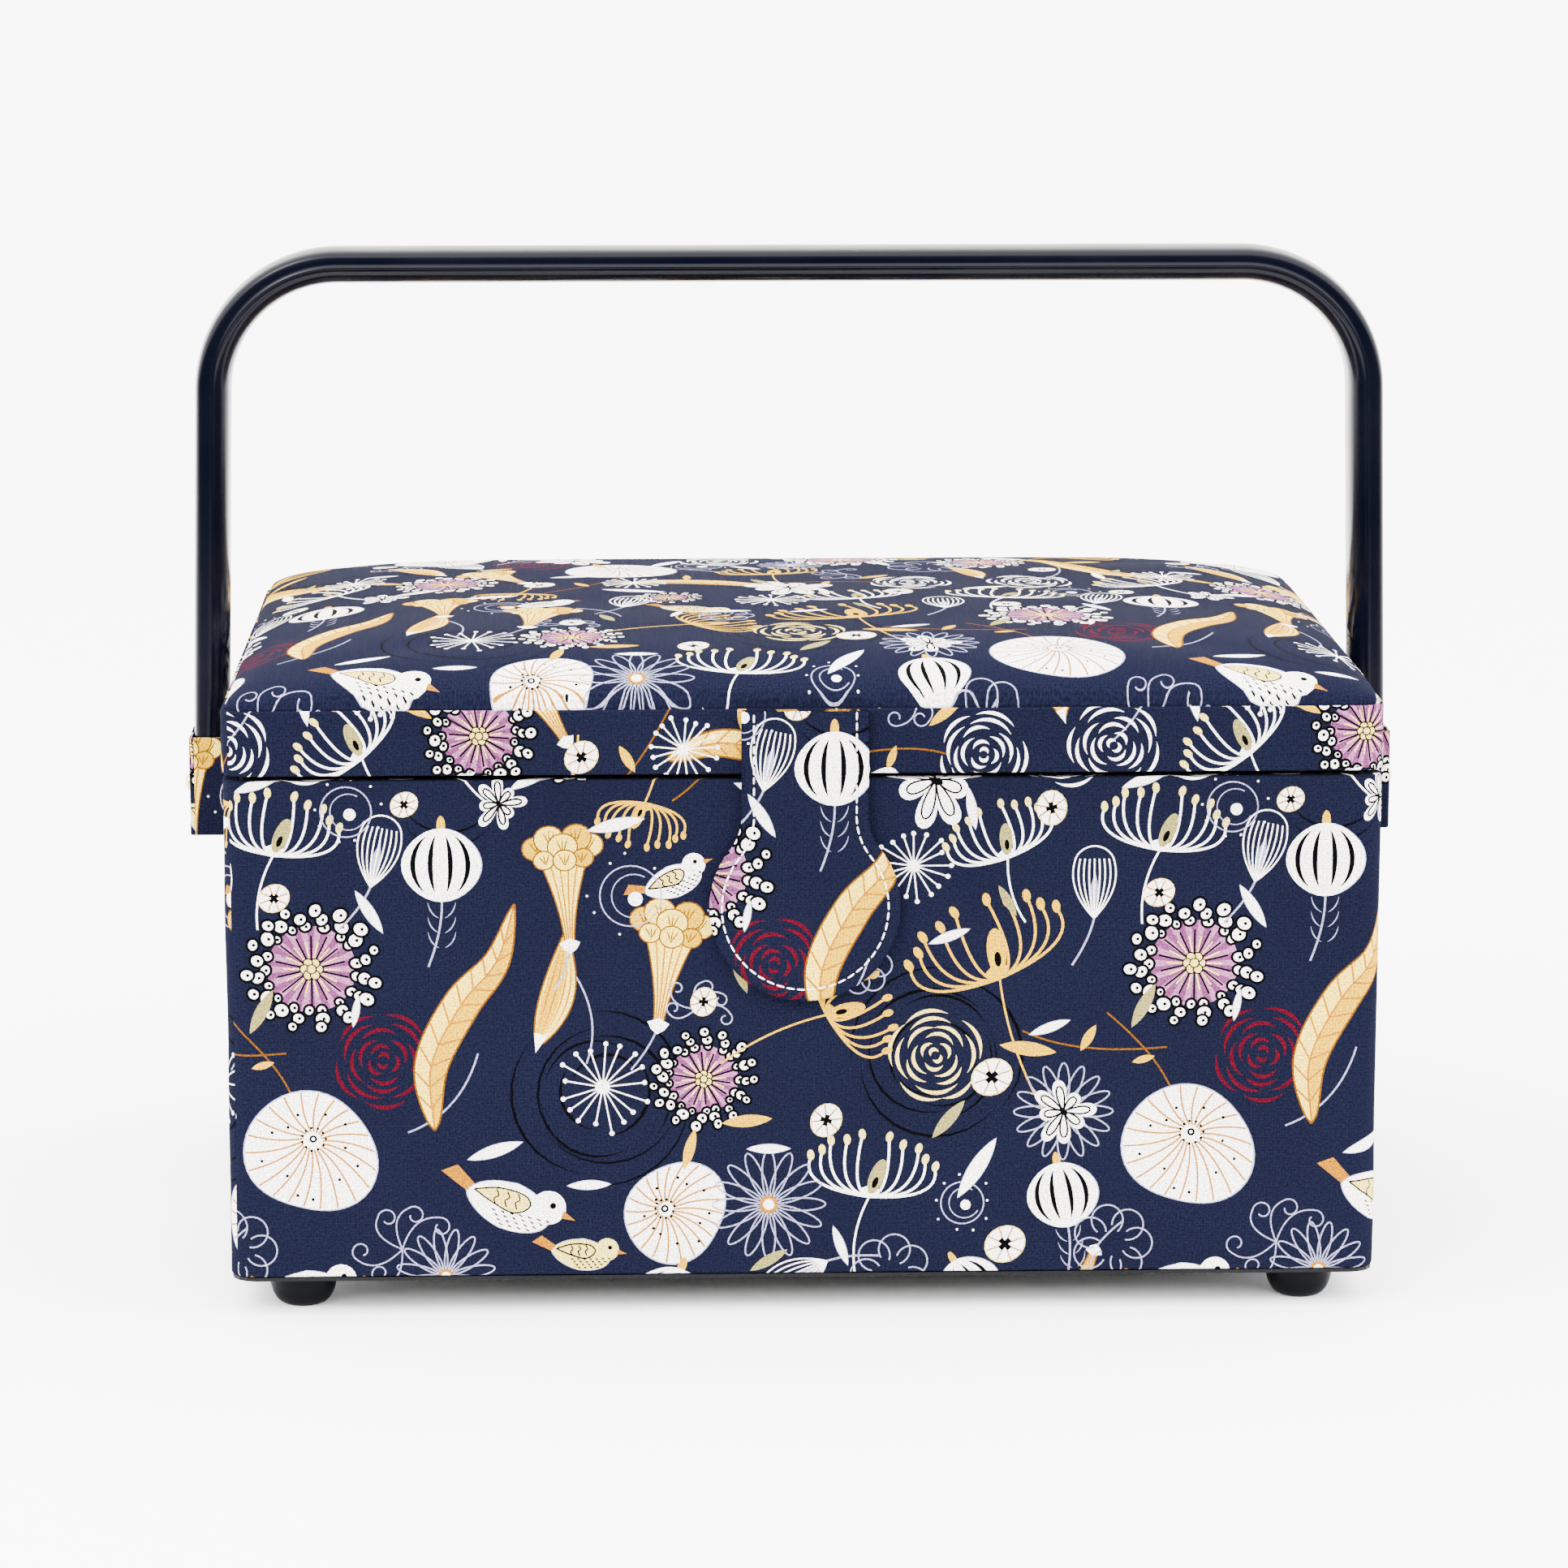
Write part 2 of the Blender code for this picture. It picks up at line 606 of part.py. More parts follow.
# ---- the handle ---------------------------------------------------------------------
def handle_outline():
    """An upside-down U: vertical feet, legs leaning in a little, two bends, one bar."""
    bend_x = HANDLE_SHOULDER_X - HANDLE_BEND_R
    bend_z = HANDLE_TOP_Z - HANDLE_BEND_R
    foot_z, tang_z = PIVOT_Z - HANDLE_FOOT_DROP, PIVOT_Z + TANG_TOP
    outer = [(HANDLE_FOOT_X, foot_z), (HANDLE_FOOT_X, HANDLE_LEAN_Z),
             *arc(bend_x, bend_z, HANDLE_BEND_R, 0, 90, 10)]
    inner = [*arc(bend_x, bend_z, HANDLE_BEND_R - HANDLE_T, 90, 0, 10),
             (HANDLE_FOOT_X - HANDLE_T, HANDLE_LEAN_Z + 0.010), (TANG_X, tang_z),
             (TANG_X, foot_z)]
    outer_left = [(-x, z) for x, z in reversed(outer)]
    inner_left = [(-x, z) for x, z in reversed(inner)]
    return outer + outer_left + inner_left + inner


def make_handle(handle):
    """The moulded bar with its two drilled ends."""
    mesh = outline_mesh("handle_bar", handle_outline(), HANDLE_HALF_WIDTH)
    mesh.transform(Matrix.Translation(Vector((0, MID_Y, 0)) - handle.location))
    bar = add_part("handle_bar", mesh, "navy_plastic", parent=handle)
    soften = bar.modifiers.new("edges", "BEVEL")
    soften.width = 0.0028
    soften.segments = 3
    soften.limit_method = "ANGLE"
    soften.angle_limit = math.radians(50)
    return bar


def make_sleeve(name, side, handle):
    """A cloth tube round the end of the handle, open above and below."""
    inner_x, outer_x = SLEEVE_INNER_X, HANDLE_FOOT_X + GAP + SLEEVE_T
    half_y = HANDLE_HALF_WIDTH + GAP + SLEEVE_T
    low = Vector((min(side * inner_x, side * outer_x), MID_Y - half_y,
                  PIVOT_Z - SLEEVE_BELOW))
    high = Vector((max(side * inner_x, side * outer_x), MID_Y + half_y,
                   PIVOT_Z + SLEEVE_ABOVE))
    mesh = box_mesh(name, low - handle.location, high - handle.location,
                    SLEEVE_CORNER_R, 2)
    shape = bmesh.new()
    shape.from_mesh(mesh)
    bmesh.ops.delete(shape, geom=[f for f in shape.faces if abs(f.normal.z) > 0.9],
                     context="FACES")
    shape.to_mesh(mesh)
    shape.free()
    sleeve = add_part(name, mesh, "printed_cloth", parent=handle)
    thicken(sleeve, SLEEVE_T)
    return sleeve


def make_rivet(label, side, carrier):
    """Domed head outside, shank through the wall, clinched end inside, and a spacer."""
    head_x = HANDLE_FOOT_X + 2 * GAP + SLEEVE_T
    inside_x = HALF_W - LINING_INSET - CLOTH
    washer_x = inside_x - GAP
    clinch_x = washer_x - WASHER_T - GAP
    dome = [(RIVET_HEAD_R * math.sin(math.radians(a)),
             head_x + RIVET_HEAD_H * math.cos(math.radians(a))) for a in range(0, 91, 18)]
    profile = [*dome, (SHANK_R, head_x), (SHANK_R, clinch_x), (CLINCH_R, clinch_x),
               (CLINCH_R, clinch_x - CLINCH_H * 2 / 3), (0, clinch_x - CLINCH_H)]
    profile = [(r, x - HALF_W) for r, x in profile]
    rivet = add_part(f"rivet_{label}", turned_mesh("rivet", profile, 20), "brass",
                     Vector((side * HALF_W, MID_Y, PIVOT_Z)) - carrier.location, carrier)
    rivet.rotation_euler = (0, side * math.pi / 2, 0)
    make_ring(f"rivet_washer_{label}", side, washer_x - WASHER_T / 2, WASHER_R, WASHER_T, "brass")
    spacer_t = SLEEVE_INNER_X - GAP - (HALF_W + GAP)
    make_ring(f"rivet_spacer_{label}", side, HALF_W + GAP + spacer_t / 2, SPACER_R, spacer_t,
              "foot_plastic")


def make_ring(name, side, x, radius, thickness, finish):
    """A flat ring round the shank, its hole along X."""
    half = thickness / 2
    profile = [(radius, half), (radius, -half), (HOLE_R, -half), (HOLE_R, half)]
    outer = add_part(name, turned_mesh("rivet_ring", profile, 20), finish,
                     (side * x, MID_Y, PIVOT_Z))
    outer.rotation_euler = (0, side * math.pi / 2, 0)


# ---- the trays ----------------------------------------------------------------------
def make_tray(label, side):
    """A moulded tray: one long compartment at the front and three cells behind it."""
    centre_x = side * (TRAY_WIDTH / 2 + TRAY_HALF_GAP)
    place = Vector((centre_x, MID_Y, TRAY_BASE_Z))
    half_w, half_d = TRAY_WIDTH / 2, TRAY_DEPTH / 2
    mesh = box_mesh(f"tray_{label}", (-half_w, -half_d, 0), (half_w, half_d, TRAY_HEIGHT),
                    TRAY_CORNER_R, 4)
    tray = add_part(f"tray_{label}", mesh, "tray_plastic", place)
    inside_w = TRAY_WIDTH - 2 * TRAY_WALL
    back_d = TRAY_DEPTH - 3 * TRAY_WALL - LONG_CELL_D
    cell_w = (inside_w - TRAY_WALL) / 2
    small_d = (back_d - TRAY_WALL) / 2
    front_y = -half_d + TRAY_WALL
    back_y = front_y + LONG_CELL_D + TRAY_WALL
    left_x = -half_w + TRAY_WALL
    right_x = left_x + cell_w + TRAY_WALL
    cells = {
        "long": (left_x, front_y, inside_w, LONG_CELL_D),
        "deep": (left_x, back_y, cell_w, back_d),
        "near": (right_x, back_y, cell_w, small_d),
        "far": (right_x, back_y + small_d + TRAY_WALL, cell_w, small_d),
    }
    for cell, (x, y, width, depth) in cells.items():
        low = (x, y, TRAY_WALL)
        high = (x + width, y + depth, TRAY_HEIGHT + 0.01)
        hollow = box_mesh(f"cell_{cell}", low, high, CELL_CORNER_R, 3)
        cut(tray, add_cutter(f"tray_{label}_{cell}", hollow, place))


# ---- assembly -----------------------------------------------------------------------
def main():
    lid = joint_empty("lid_pivot", (0, MID_Y + LID_HALF_D + GAP, (RIM_Z + LID_BOTTOM_Z) / 2
                                    + 0.0002))
    flap = joint_empty("flap_pivot", (0, FLAP_BACK_Y, FLAP_TOP_Z))
    handle = joint_empty("handle_pivot", (0, MID_Y, PIVOT_Z))
    pivot_holes = {side: side_hole_cutter(side) for side in (-1, 1)}
    make_base(make_feet())
    make_walls(pivot_holes)
    make_covers(pivot_holes)
    make_ledges()
    make_body_magnet()
    make_hinge_strip("hinge_cloth_lower", MID_Y + HALF_D + GAP, HINGE_LOWER_Z,
                     RIM_Z + HINGE_OVER)
    make_hinge_strip("hinge_cloth_upper", MID_Y + LID_HALF_D + GAP, LID_BOTTOM_Z + HINGE_LAP,
                     LID_BOTTOM_Z + HINGE_UPPER_H, lid)
    make_lid(lid)
    make_lid_fittings(lid)
    make_flap(flap)
    bar = make_handle(handle)
    for label, side in (("left", -1), ("right", 1)):
        make_rivet(label, side, handle)
        sleeve = make_sleeve(f"sleeve_{label}", side, handle)
        cut(bar, pivot_holes[side])
        cut(sleeve, pivot_holes[side])
        make_tray(label, side)


main()
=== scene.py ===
import math

import bpy
import numpy as np
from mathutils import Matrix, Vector
from mathutils.geometry import delaunay_2d_cdt


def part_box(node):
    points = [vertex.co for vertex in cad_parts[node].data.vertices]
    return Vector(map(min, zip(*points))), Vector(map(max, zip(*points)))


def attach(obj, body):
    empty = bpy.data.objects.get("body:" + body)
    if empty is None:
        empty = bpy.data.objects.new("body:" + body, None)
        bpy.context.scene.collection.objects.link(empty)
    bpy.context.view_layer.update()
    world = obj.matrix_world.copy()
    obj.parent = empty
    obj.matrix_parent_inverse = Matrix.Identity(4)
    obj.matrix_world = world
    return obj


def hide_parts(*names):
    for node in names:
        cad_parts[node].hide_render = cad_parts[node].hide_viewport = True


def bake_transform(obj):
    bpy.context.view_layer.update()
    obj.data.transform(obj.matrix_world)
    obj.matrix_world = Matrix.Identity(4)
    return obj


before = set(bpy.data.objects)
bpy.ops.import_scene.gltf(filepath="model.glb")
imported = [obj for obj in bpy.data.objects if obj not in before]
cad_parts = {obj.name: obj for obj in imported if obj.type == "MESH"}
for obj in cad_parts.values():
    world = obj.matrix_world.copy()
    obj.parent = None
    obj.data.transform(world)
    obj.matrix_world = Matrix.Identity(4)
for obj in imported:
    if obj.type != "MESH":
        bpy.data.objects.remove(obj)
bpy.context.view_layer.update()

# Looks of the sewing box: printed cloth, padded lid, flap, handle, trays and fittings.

MM = 0.001
TAU = 2 * math.pi


# ---- places, read from the frame ----------------------------------------------------
def span(node):
    """Lowest and highest corner of a CAD node, as arrays."""
    low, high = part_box(node)
    return np.array(low), np.array(high)


WRAP_LOW, WRAP_HIGH = span("cover_wrap")
BAND_LOW, BAND_HIGH = span("lid_band_cover")
CROWN_LOW, CROWN_HIGH = span("lid_cover")
FLAP_LOW, FLAP_HIGH = span("flap_front_cloth")
FLAP_BACK_Y = span("flap_back_cloth")[1][1]
BAR_LOW, BAR_HIGH = span("handle_bar")
MID_Y = (WRAP_LOW[1] + WRAP_HIGH[1]) / 2
CORNER_R = 0.007

NAVY = (0.0034, 0.0039, 0.0108)
INKS = {
    "navy": NAVY,
    "white": (0.80, 0.76, 0.72),
    "lilac": (0.21, 0.20, 0.30),
    "yellow": (0.46, 0.245, 0.001),
    "straw": (0.66, 0.45, 0.060),
    "orange": (0.26, 0.095, 0.001),
    "rust": (0.10, 0.035, 0.001),
    "cream": (0.60, 0.45, 0.12),
    "sage": (0.19, 0.16, 0.055),
    "pink": (0.105, 0.028, 0.080),
    "rose": (0.24, 0.085, 0.18),
    "red": (0.045, 0.0015, 0.0060),
    "black": (0.0007, 0.0007, 0.0009),
}
INK_ORDER = list(INKS)
LINT = (0.020, 0.022, 0.034)


# ---- drawing in ink: every mark is a polygon in millimetres and a colour --------------
def turned(points, degrees):
    """The points turned about the origin."""
    a = math.radians(degrees)
    c, s = math.cos(a), math.sin(a)
    return np.asarray(points, float) @ np.array([[c, s], [-s, c]])


def oval(x, y, rx, ry=None, turn=0.0, count=14):
    """An ellipse: (rx cos a, ry sin a), turned, then moved."""
    a = np.arange(count) * TAU / count
    ry = rx if ry is None else ry
    return turned(np.stack([rx * np.cos(a), ry * np.sin(a)], 1), turn) + (x, y)


def along(path, count):
    """A smooth open curve through the path's points (Catmull-Rom), count points long."""
    p = np.asarray(path, float)
    p = np.concatenate([[2 * p[0] - p[1]], p, [2 * p[-1] - p[-2]]])
    t = np.linspace(0, len(p) - 3 - 1e-9, count)
    k = t.astype(int)
    f = (t - k)[:, None]
    a, b, c, d = p[k], p[k + 1], p[k + 2], p[k + 3]
    return 0.5 * (2 * b + (c - a) * f + (2 * a - 5 * b + 4 * c - d) * f**2 + (3 * b - a - 3 * c + d) * f**3)


def across(path):
    """Unit vectors square to the path, to its left."""
    step = np.gradient(path, axis=0)
    step /= np.maximum(np.linalg.norm(step, axis=1), 1e-9)[:, None]
    return np.stack([-step[:, 1], step[:, 0]], 1)


def line(path, width, ink, pointed=False):
    """An inked line: the path pushed half the width to each side, cut into short lengths."""
    path = np.asarray(path, float)
    t = np.linspace(0, 1, len(path))
    half = np.full(len(path), width / 2)
    if pointed:
        half = width / 2 * (0.12 + 0.88 * np.sin(np.pi * np.clip(t, 0.02, 0.98)))
    side = across(path) * half[:, None]
    left, right = path + side, path - side
    marks = []
    for k in range(0, len(path) - 1, 4):
        m = min(k + 5, len(path))
        marks.append((np.concatenate([right[k:m], left[k:m][::-1]]), ink))
    return marks


def dot(ink, *place, **shape):
    """One filled oval."""
    return [(oval(*place, **shape), ink)]


def arc(x, y, r, start, stop, count=12):
    """Points along a circle's arc, from one angle in degrees to another."""
    a = np.radians(np.linspace(start, stop, count))
    return np.stack([x + r * np.cos(a), y + r * np.sin(a)], 1)


def crescent(x, y, r, start, stop, thick, ink):
    """An arc whose width swells as the sine of the way along it."""
    spine = arc(x, y, r, start, stop, 11)
    out = (spine - (x, y)) / r
    swell = thick * np.sin(np.linspace(0, np.pi, len(spine)))[:, None]
    return [(np.concatenate([spine + out * swell, spine[1:-1][::-1]]), ink)]


def leaf(length, width, ink, turn=0.0, bend=0.0):
    """A pointed leaf from the origin: half width times sin(pi t)^0.8 along a bent spine."""
    t = np.linspace(0, 1, 11)
    spine = np.stack([length * t, bend * np.sin(np.pi * t)], 1)
    half = width / 2 * np.sin(np.pi * t) ** 0.8
    shape = np.concatenate([spine - [0, 1] * half[:, None], (spine + [0, 1] * half[:, None])[1:-1][::-1]])
    return [(turned(shape, turn), ink)]


def bend(start, pull, stop, count=14):
    """A quadratic curve from start to stop, pulled towards one point."""
    t = np.linspace(0, 1, count)[:, None]
    return (1 - t) ** 2 * np.array(start) + 2 * t * (1 - t) * np.array(pull) + t**2 * np.array(stop)


# ---- the motifs ----------------------------------------------------------------------
def umbel(r, rng):
    """A pink rayed disc with rings of small white balls round it."""
    marks = [(oval(0, 0, 0.66 * r, count=30), "pink")]
    for k in range(18):
        a, w = k * TAU / 18, TAU / 72
        wedge = [(0, 0)] + [(0.66 * r * math.cos(a + s), 0.66 * r * math.sin(a + s)) for s in (-w, w)]
        marks.append((np.array(wedge), "rose"))
    for k in range(14):
        a = (k + 0.5) * TAU / 14
        ray = np.outer(np.linspace(0.1, 0.5 + 0.1 * rng.random(), 3) * r, (math.cos(a), math.sin(a)))
        marks += line(ray, 0.5, "black")
        inner = np.outer(np.linspace(0.1, 0.42, 3) * r, (math.cos(a + 0.2), math.sin(a + 0.2)))
        marks += line(inner, 0.4, "straw")
    balls = [(0.67, 17, 0.056), (0.80, 16, 0.078), (0.95, 15, 0.074)]
    for at, count, size in balls:
        for k in range(count):
            a = (k + 0.35 * rng.random()) * TAU / count + at * 9
            far = r * (at + 0.03 * rng.random())
            x, y = far * math.cos(a), far * math.sin(a) * 0.94
            s = r * size * (0.75 + 0.5 * rng.random())
            tall = 1 + 0.25 * rng.random()
            turn = 360 * rng.random()
            marks += dot("black", x, y, s + 0.75, s * tall + 0.75, turn, 12)
            marks += dot("white", x, y, s, s * tall, turn, 12)
            marks += dot("black", x + 0.2 * s, y, 0.5, count=7)
    for k in range(7):
        a = k * TAU / 6
        x, y = (0, 0) if k == 6 else (0.105 * r * math.cos(a), 0.105 * r * math.sin(a))
        marks += dot("black", x, y, 0.062 * r + 0.4, count=9)
        marks += dot("cream", x, y, 0.062 * r, count=9)
    return marks


def parasol(r, rng):
    """A lopsided white round flower with orange ribs and black specks round its eye."""
    a = np.arange(44) * TAU / 44
    rim = r * (1 + 0.07 * np.cos(2 * a + 0.9) + 0.04 * np.cos(3 * a + 2))
    shape = np.stack([rim * np.cos(a), rim * np.sin(a)], 1)
    marks = [(shape * (1 + 0.35 / r), "lilac"), (shape, "white")]
    eye = np.array([0.04 * r, 0.22 * r])
    for k in range(0, 44, 2):
        end = shape[k]
        middle = (eye + end) / 2 + turned((end - eye) * 0.10, 90)
        marks += line(bend(eye + (end - eye) * 0.15, middle, end * 0.985, 8), 0.5, "orange")
    for k in range(11):
        x, y = eye + turned((0.17 * r * (1 + 0.2 * rng.random()), 0), k * 360 / 11)
        marks += dot("black", x, y, 0.42, count=7)
    for k in range(12):
        x, y = turned((r * (0.45 + 0.35 * rng.random()), 0), k * 30 + 20 * rng.random())
        marks += dot("black", x, y, 0.48, count=7)
    marks += dot("black", *eye, 1.1, count=12)
    marks += dot("white", *eye, 0.5, count=9)
    return marks


def stamens(r, rng, stalk="white", tip="cream", pod="sage", stem=1.25):
    """A fan of bowed stalks with beads on their ends, a pod in the middle and a stem."""
    marks = line(bend((0, 0), (-0.25 * r, -0.5 * stem * r), (-0.1 * r, -stem * r), 14), 0.55, stalk)
    for side in (-1, 1):
        for k in range(5):
            a = math.radians(18 + 15 * k)
            reach = r * (1 - 0.06 * (k % 2))
            end = np.array([side * reach * math.cos(a) * 1.05, reach * (0.35 + 0.62 * math.sin(a))])
            pull = np.array([side * r * (1.12 - 0.2 * k), 0.04 * r])
            marks += line(bend((0, 0), pull, end, 13), 0.5 + 0.012 * r, stalk)
            bead = (0.038 * r + 0.35, 0.07 * r + 0.35)
            marks += dot(tip, end[0], end[1] + 0.05 * r, *bead, -side * 12, 10)
    marks.append((np.array([(-0.16, 0.12), (0, -0.03), (0.16, 0.12), (0, 0.2)]) * r, stalk))
    marks += dot(pod, 0.09 * r, 0.34 * r, 0.12 * r, 0.3 * r, -16, 18)
    marks += dot("black", 0.07 * r, 0.24 * r, 0.045 * r, 0.1 * r, -16, 10)
    return marks


def yellow_stamens(r, rng):
    return stamens(r, rng, "yellow", "yellow", "yellow", 1.9)


def bulb(r, rng):
    """A striped white bulb with an orange tip, on a stem with small hairs."""
    marks = line(bend((0, -0.8 * r), (0.05 * r, -1.6 * r), (-0.35 * r, -2.6 * r), 10), 0.55, "lilac")
    for k in range(3):
        for side in (-1, 1):
            y = -r * (1.15 + 0.38 * k)
            marks += line(bend((side * 0.35 * r, y + 0.2 * r), (side * 0.3 * r, y - 0.1 * r),
                               (side * 0.08 * r, y - 0.2 * r), 7), 0.36, "lilac", True)
    a = np.arange(32) * TAU / 32
    shape = np.stack([r * np.cos(a), r * (0.84 * np.sin(a) + 0.10 * np.sin(a) * np.abs(np.sin(a)) ** 3)], 1)
    marks += dot("yellow", 0, 1.0 * r, 0.11 * r, 0.26 * r, count=12)
    marks += [(shape + (0.3, 0), "lilac"), (shape, "white")]
    for k in (-0.62, -0.24, 0.2, 0.58):
        b = np.radians(np.linspace(-52, 58, 11))
        marks += line(np.stack([r * k * np.cos(b) * 1.15, 0.86 * r * np.sin(b)], 1), 0.13 * r, "black", True)
    return marks


def plume(r, rng):
    """A long feathered leaf on an S-shaped spine, light on one side, with slanting veins."""
    spine = along([(-0.22 * r, -r), (-0.30 * r, -0.45 * r), (-0.10 * r, 0.1 * r), (0.16 * r, 0.5 * r),
                   (0.26 * r, r)], 37)
    t = np.linspace(0, 1, len(spine))
    half = 0.155 * r * np.sin(np.pi * t**0.8) ** 0.75 + 0.05
    side = across(spine)
    left, right = spine + side * half[:, None], spine - side * half[:, None]
    marks = [(np.concatenate([right, left[::-1]]), "yellow"),
             (np.concatenate([spine, (spine + side * half[:, None] * 0.96)[::-1]]), "straw")]
    for k in range(3, 33, 3):
        for edge in (left, right):
            marks += line(np.linspace(spine[k], edge[k + 2] * 0.93 + spine[k + 2] * 0.07, 3), 0.5, "orange")
    marks += line(spine, 0.5, "orange") + line(left, 0.5, "rust") + line(right, 0.5, "rust")
    return marks


def blade(r, rng):
    """A broad pointed yellow leaf with long veins."""
    t = np.linspace(0, 1, 21)
    spine = np.stack([0.12 * r * np.sin(np.pi * t), r * (2 * t - 1)], 1)
    half = 0.27 * r * np.sin(np.pi * t**0.85) ** 0.9 + 0.04
    rim = np.concatenate([spine + [1, 0] * half[:, None], (spine - [1, 0] * half[:, None])[::-1]])
    marks = [(rim, "straw")]
    core = np.concatenate([spine + [0.2, 0] * half[:, None], (spine - [0.85, 0] * half[:, None])[::-1]])
    marks.append((core, "yellow"))
    for share in (-0.55, -0.15, 0.3, 0.65):
        marks += line((spine + [share, 0] * half[:, None])[3:-3], 0.45, "orange", True)
    for way in (1, -1):
        marks += line(spine + [way, 0] * half[:, None], 0.45, "rust")
    marks.append((np.array([(-0.10 * r, -0.78 * r), (0, -1.1 * r), (0.12 * r, -0.78 * r)]), "white"))
    return marks


def trumpet(r, rng):
    """A yellow trumpet flower: a ribbed funnel, frilled lobes at the mouth, a white cup below."""
    mouth = 0.42 * r
    t = np.linspace(0, 1, 9)
    left = np.stack([-0.07 * r - mouth * 0.8 * t**1.7, -r + 1.45 * r * t], 1)
    right = left * (-1, 1)
    marks = line(bend((0, -r), (-0.05 * r, -1.3 * r), (-0.3 * r, -1.7 * r), 8), 0.5, "lilac")
    marks.append((np.concatenate([right, left[::-1]]), "straw"))
    for share in (-0.6, -0.2, 0.2, 0.6):
        marks += line(left * (share, 1) + (0, 0.01 * r), 0.4, "orange")
    marks += line(left, 0.42, "rust") + line(right, 0.42, "rust")
    lobes = [(-0.42, 0.55, 0.19), (0.42, 0.55, 0.19), (-0.2, 0.68, 0.22), (0.22, 0.68, 0.22), (0, 0.55, 0.22),
             (-0.3, 0.36, 0.15), (0.3, 0.36, 0.15), (0.02, 0.34, 0.17)]
    for k, (x, y, s) in enumerate(lobes):
        marks += dot("rust", x * r, y * r, s * r + 0.4, s * 0.9 * r + 0.4, count=16)
        marks += dot("yellow" if k % 3 == 0 else "straw", x * r, y * r, s * r, s * 0.9 * r, count=16)
        for way in (-1, 0, 1):
            tip = np.array([x + 0.09 * way, y + 0.6 * s]) * r
            marks += line(np.linspace((np.array([x * 0.9, y - 0.5 * s]) * r), tip, 4), 0.4, "rust", True)
    cup = [(-0.16, -0.95), (-0.1, -1.05), (0, -1.12), (0.1, -1.05), (0.16, -0.95), (0, -0.88)]
    marks.append((np.array(cup) * r, "white"))
    return marks


def rose_swirl(r, rng, ink="white"):
    """A rose drawn as crescents on growing circles, each ring turned on the last."""
    marks = []
    for ring in range(6):
        far = r * (0.10 + 0.17 * ring)
        count = 2 + (ring + 1) // 2
        for k in range(count):
            start = ring * 47 + k * 360 / count + 18 * rng.random()
            width = 300 / count * (0.8 + 0.25 * rng.random())
            marks += crescent(0.03 * r, 0, far, start, start + width, 0.085 * r, ink)
    return marks


def red_rose(r, rng):
    return rose_swirl(r, rng, "red")


def cream_rose(r, rng):
    return rose_swirl(r, rng, "cream")


def ripples(r, rng):
    """Wide thin black arcs, like rings in water."""
    marks = []
    for k in range(11):
        far = r * (0.42 + 0.058 * k)
        start = k * 131 + 30 * rng.random()
        stop = start + 95 + 50 * rng.random()
        thick = 0.55 + 0.5 * rng.random()
        marks += crescent(0.06 * r * math.cos(k), 0.06 * r * math.sin(k), far, start, stop, thick, "black")
    return marks


def burst(r, rng):
    """White spokes of uneven length with a dot on each end."""
    marks = []
    for k in range(17):
        a = (k + 0.3 * rng.random()) * TAU / 17
        end = np.array([math.cos(a), math.sin(a)]) * r * (0.78 + 0.22 * rng.random())
        marks += line(np.linspace((0, 0), end, 3), 0.42, "white")
        marks += dot("white", *end, 0.55 + 0.012 * r, count=9)
    marks += dot("white", 0, 0, 0.15 * r, count=10)
    return marks


def loops(r, rng):
    """A flower of looped outlines round an orange eye."""
    marks = []
    for k in range(16):
        petal = oval(0.56 * r, 0, 0.43 * r, 0.115 * r, count=20)
        petal = turned(np.concatenate([petal, petal[:1]]), k * 22.5)
        marks += line(petal, 0.42, "lilac")
    marks += dot("orange", 0, 0, 0.16 * r, count=16)
    marks += dot("white", 0, 0, 0.10 * r, count=12)
    return marks


def daisy(r, rng):
    """White petals of uneven length, each with a black loop in it, round a black eye."""
    marks, inner = [], []
    for k in range(8):
        size = 1 - 0.28 * (k % 3 == 1) - 0.1 * rng.random()
        turn = k * 45 + 12 * rng.random()
        a = np.arange(20) * TAU / 20
        far = r * size * (0.54 + 0.46 * np.cos(a))
        shape = np.stack([far, r * 0.155 * np.sin(a) * (1.15 + 0.45 * np.cos(a))], 1)
        marks.append((turned(shape, turn), "white"))
        inner += line(turned(np.concatenate([shape, shape[:1]]) * (0.8, 0.55), turn), 0.5, "black")
    return marks + inner + [(oval(0, 0, 0.15 * r, 0.08 * r, -50, 12), "black")]


def looped_daisy(r, rng):
    return loops(r, rng)[:-2] + daisy(0.72 * r, rng)


def button(r, rng):
    """A small cream disc with orange ribs and a black cross."""
    marks = [(oval(0, 0, r, 0.86 * r, 30, 18), "cream"), (oval(0, 0, 0.94 * r, 0.8 * r, 30, 18), "white")]
    for k in range(8):
        marks += line(turned([(0.2 * r, 0), (0.55 * r, 0), (0.88 * r, 0)], k * 45 + 20), 0.4, "orange")
    for way in (45, -45):
        marks += line(turned([(-0.32 * r, 0), (0, 0), (0.32 * r, 0)], way), 0.24 * r, "black")
    return marks


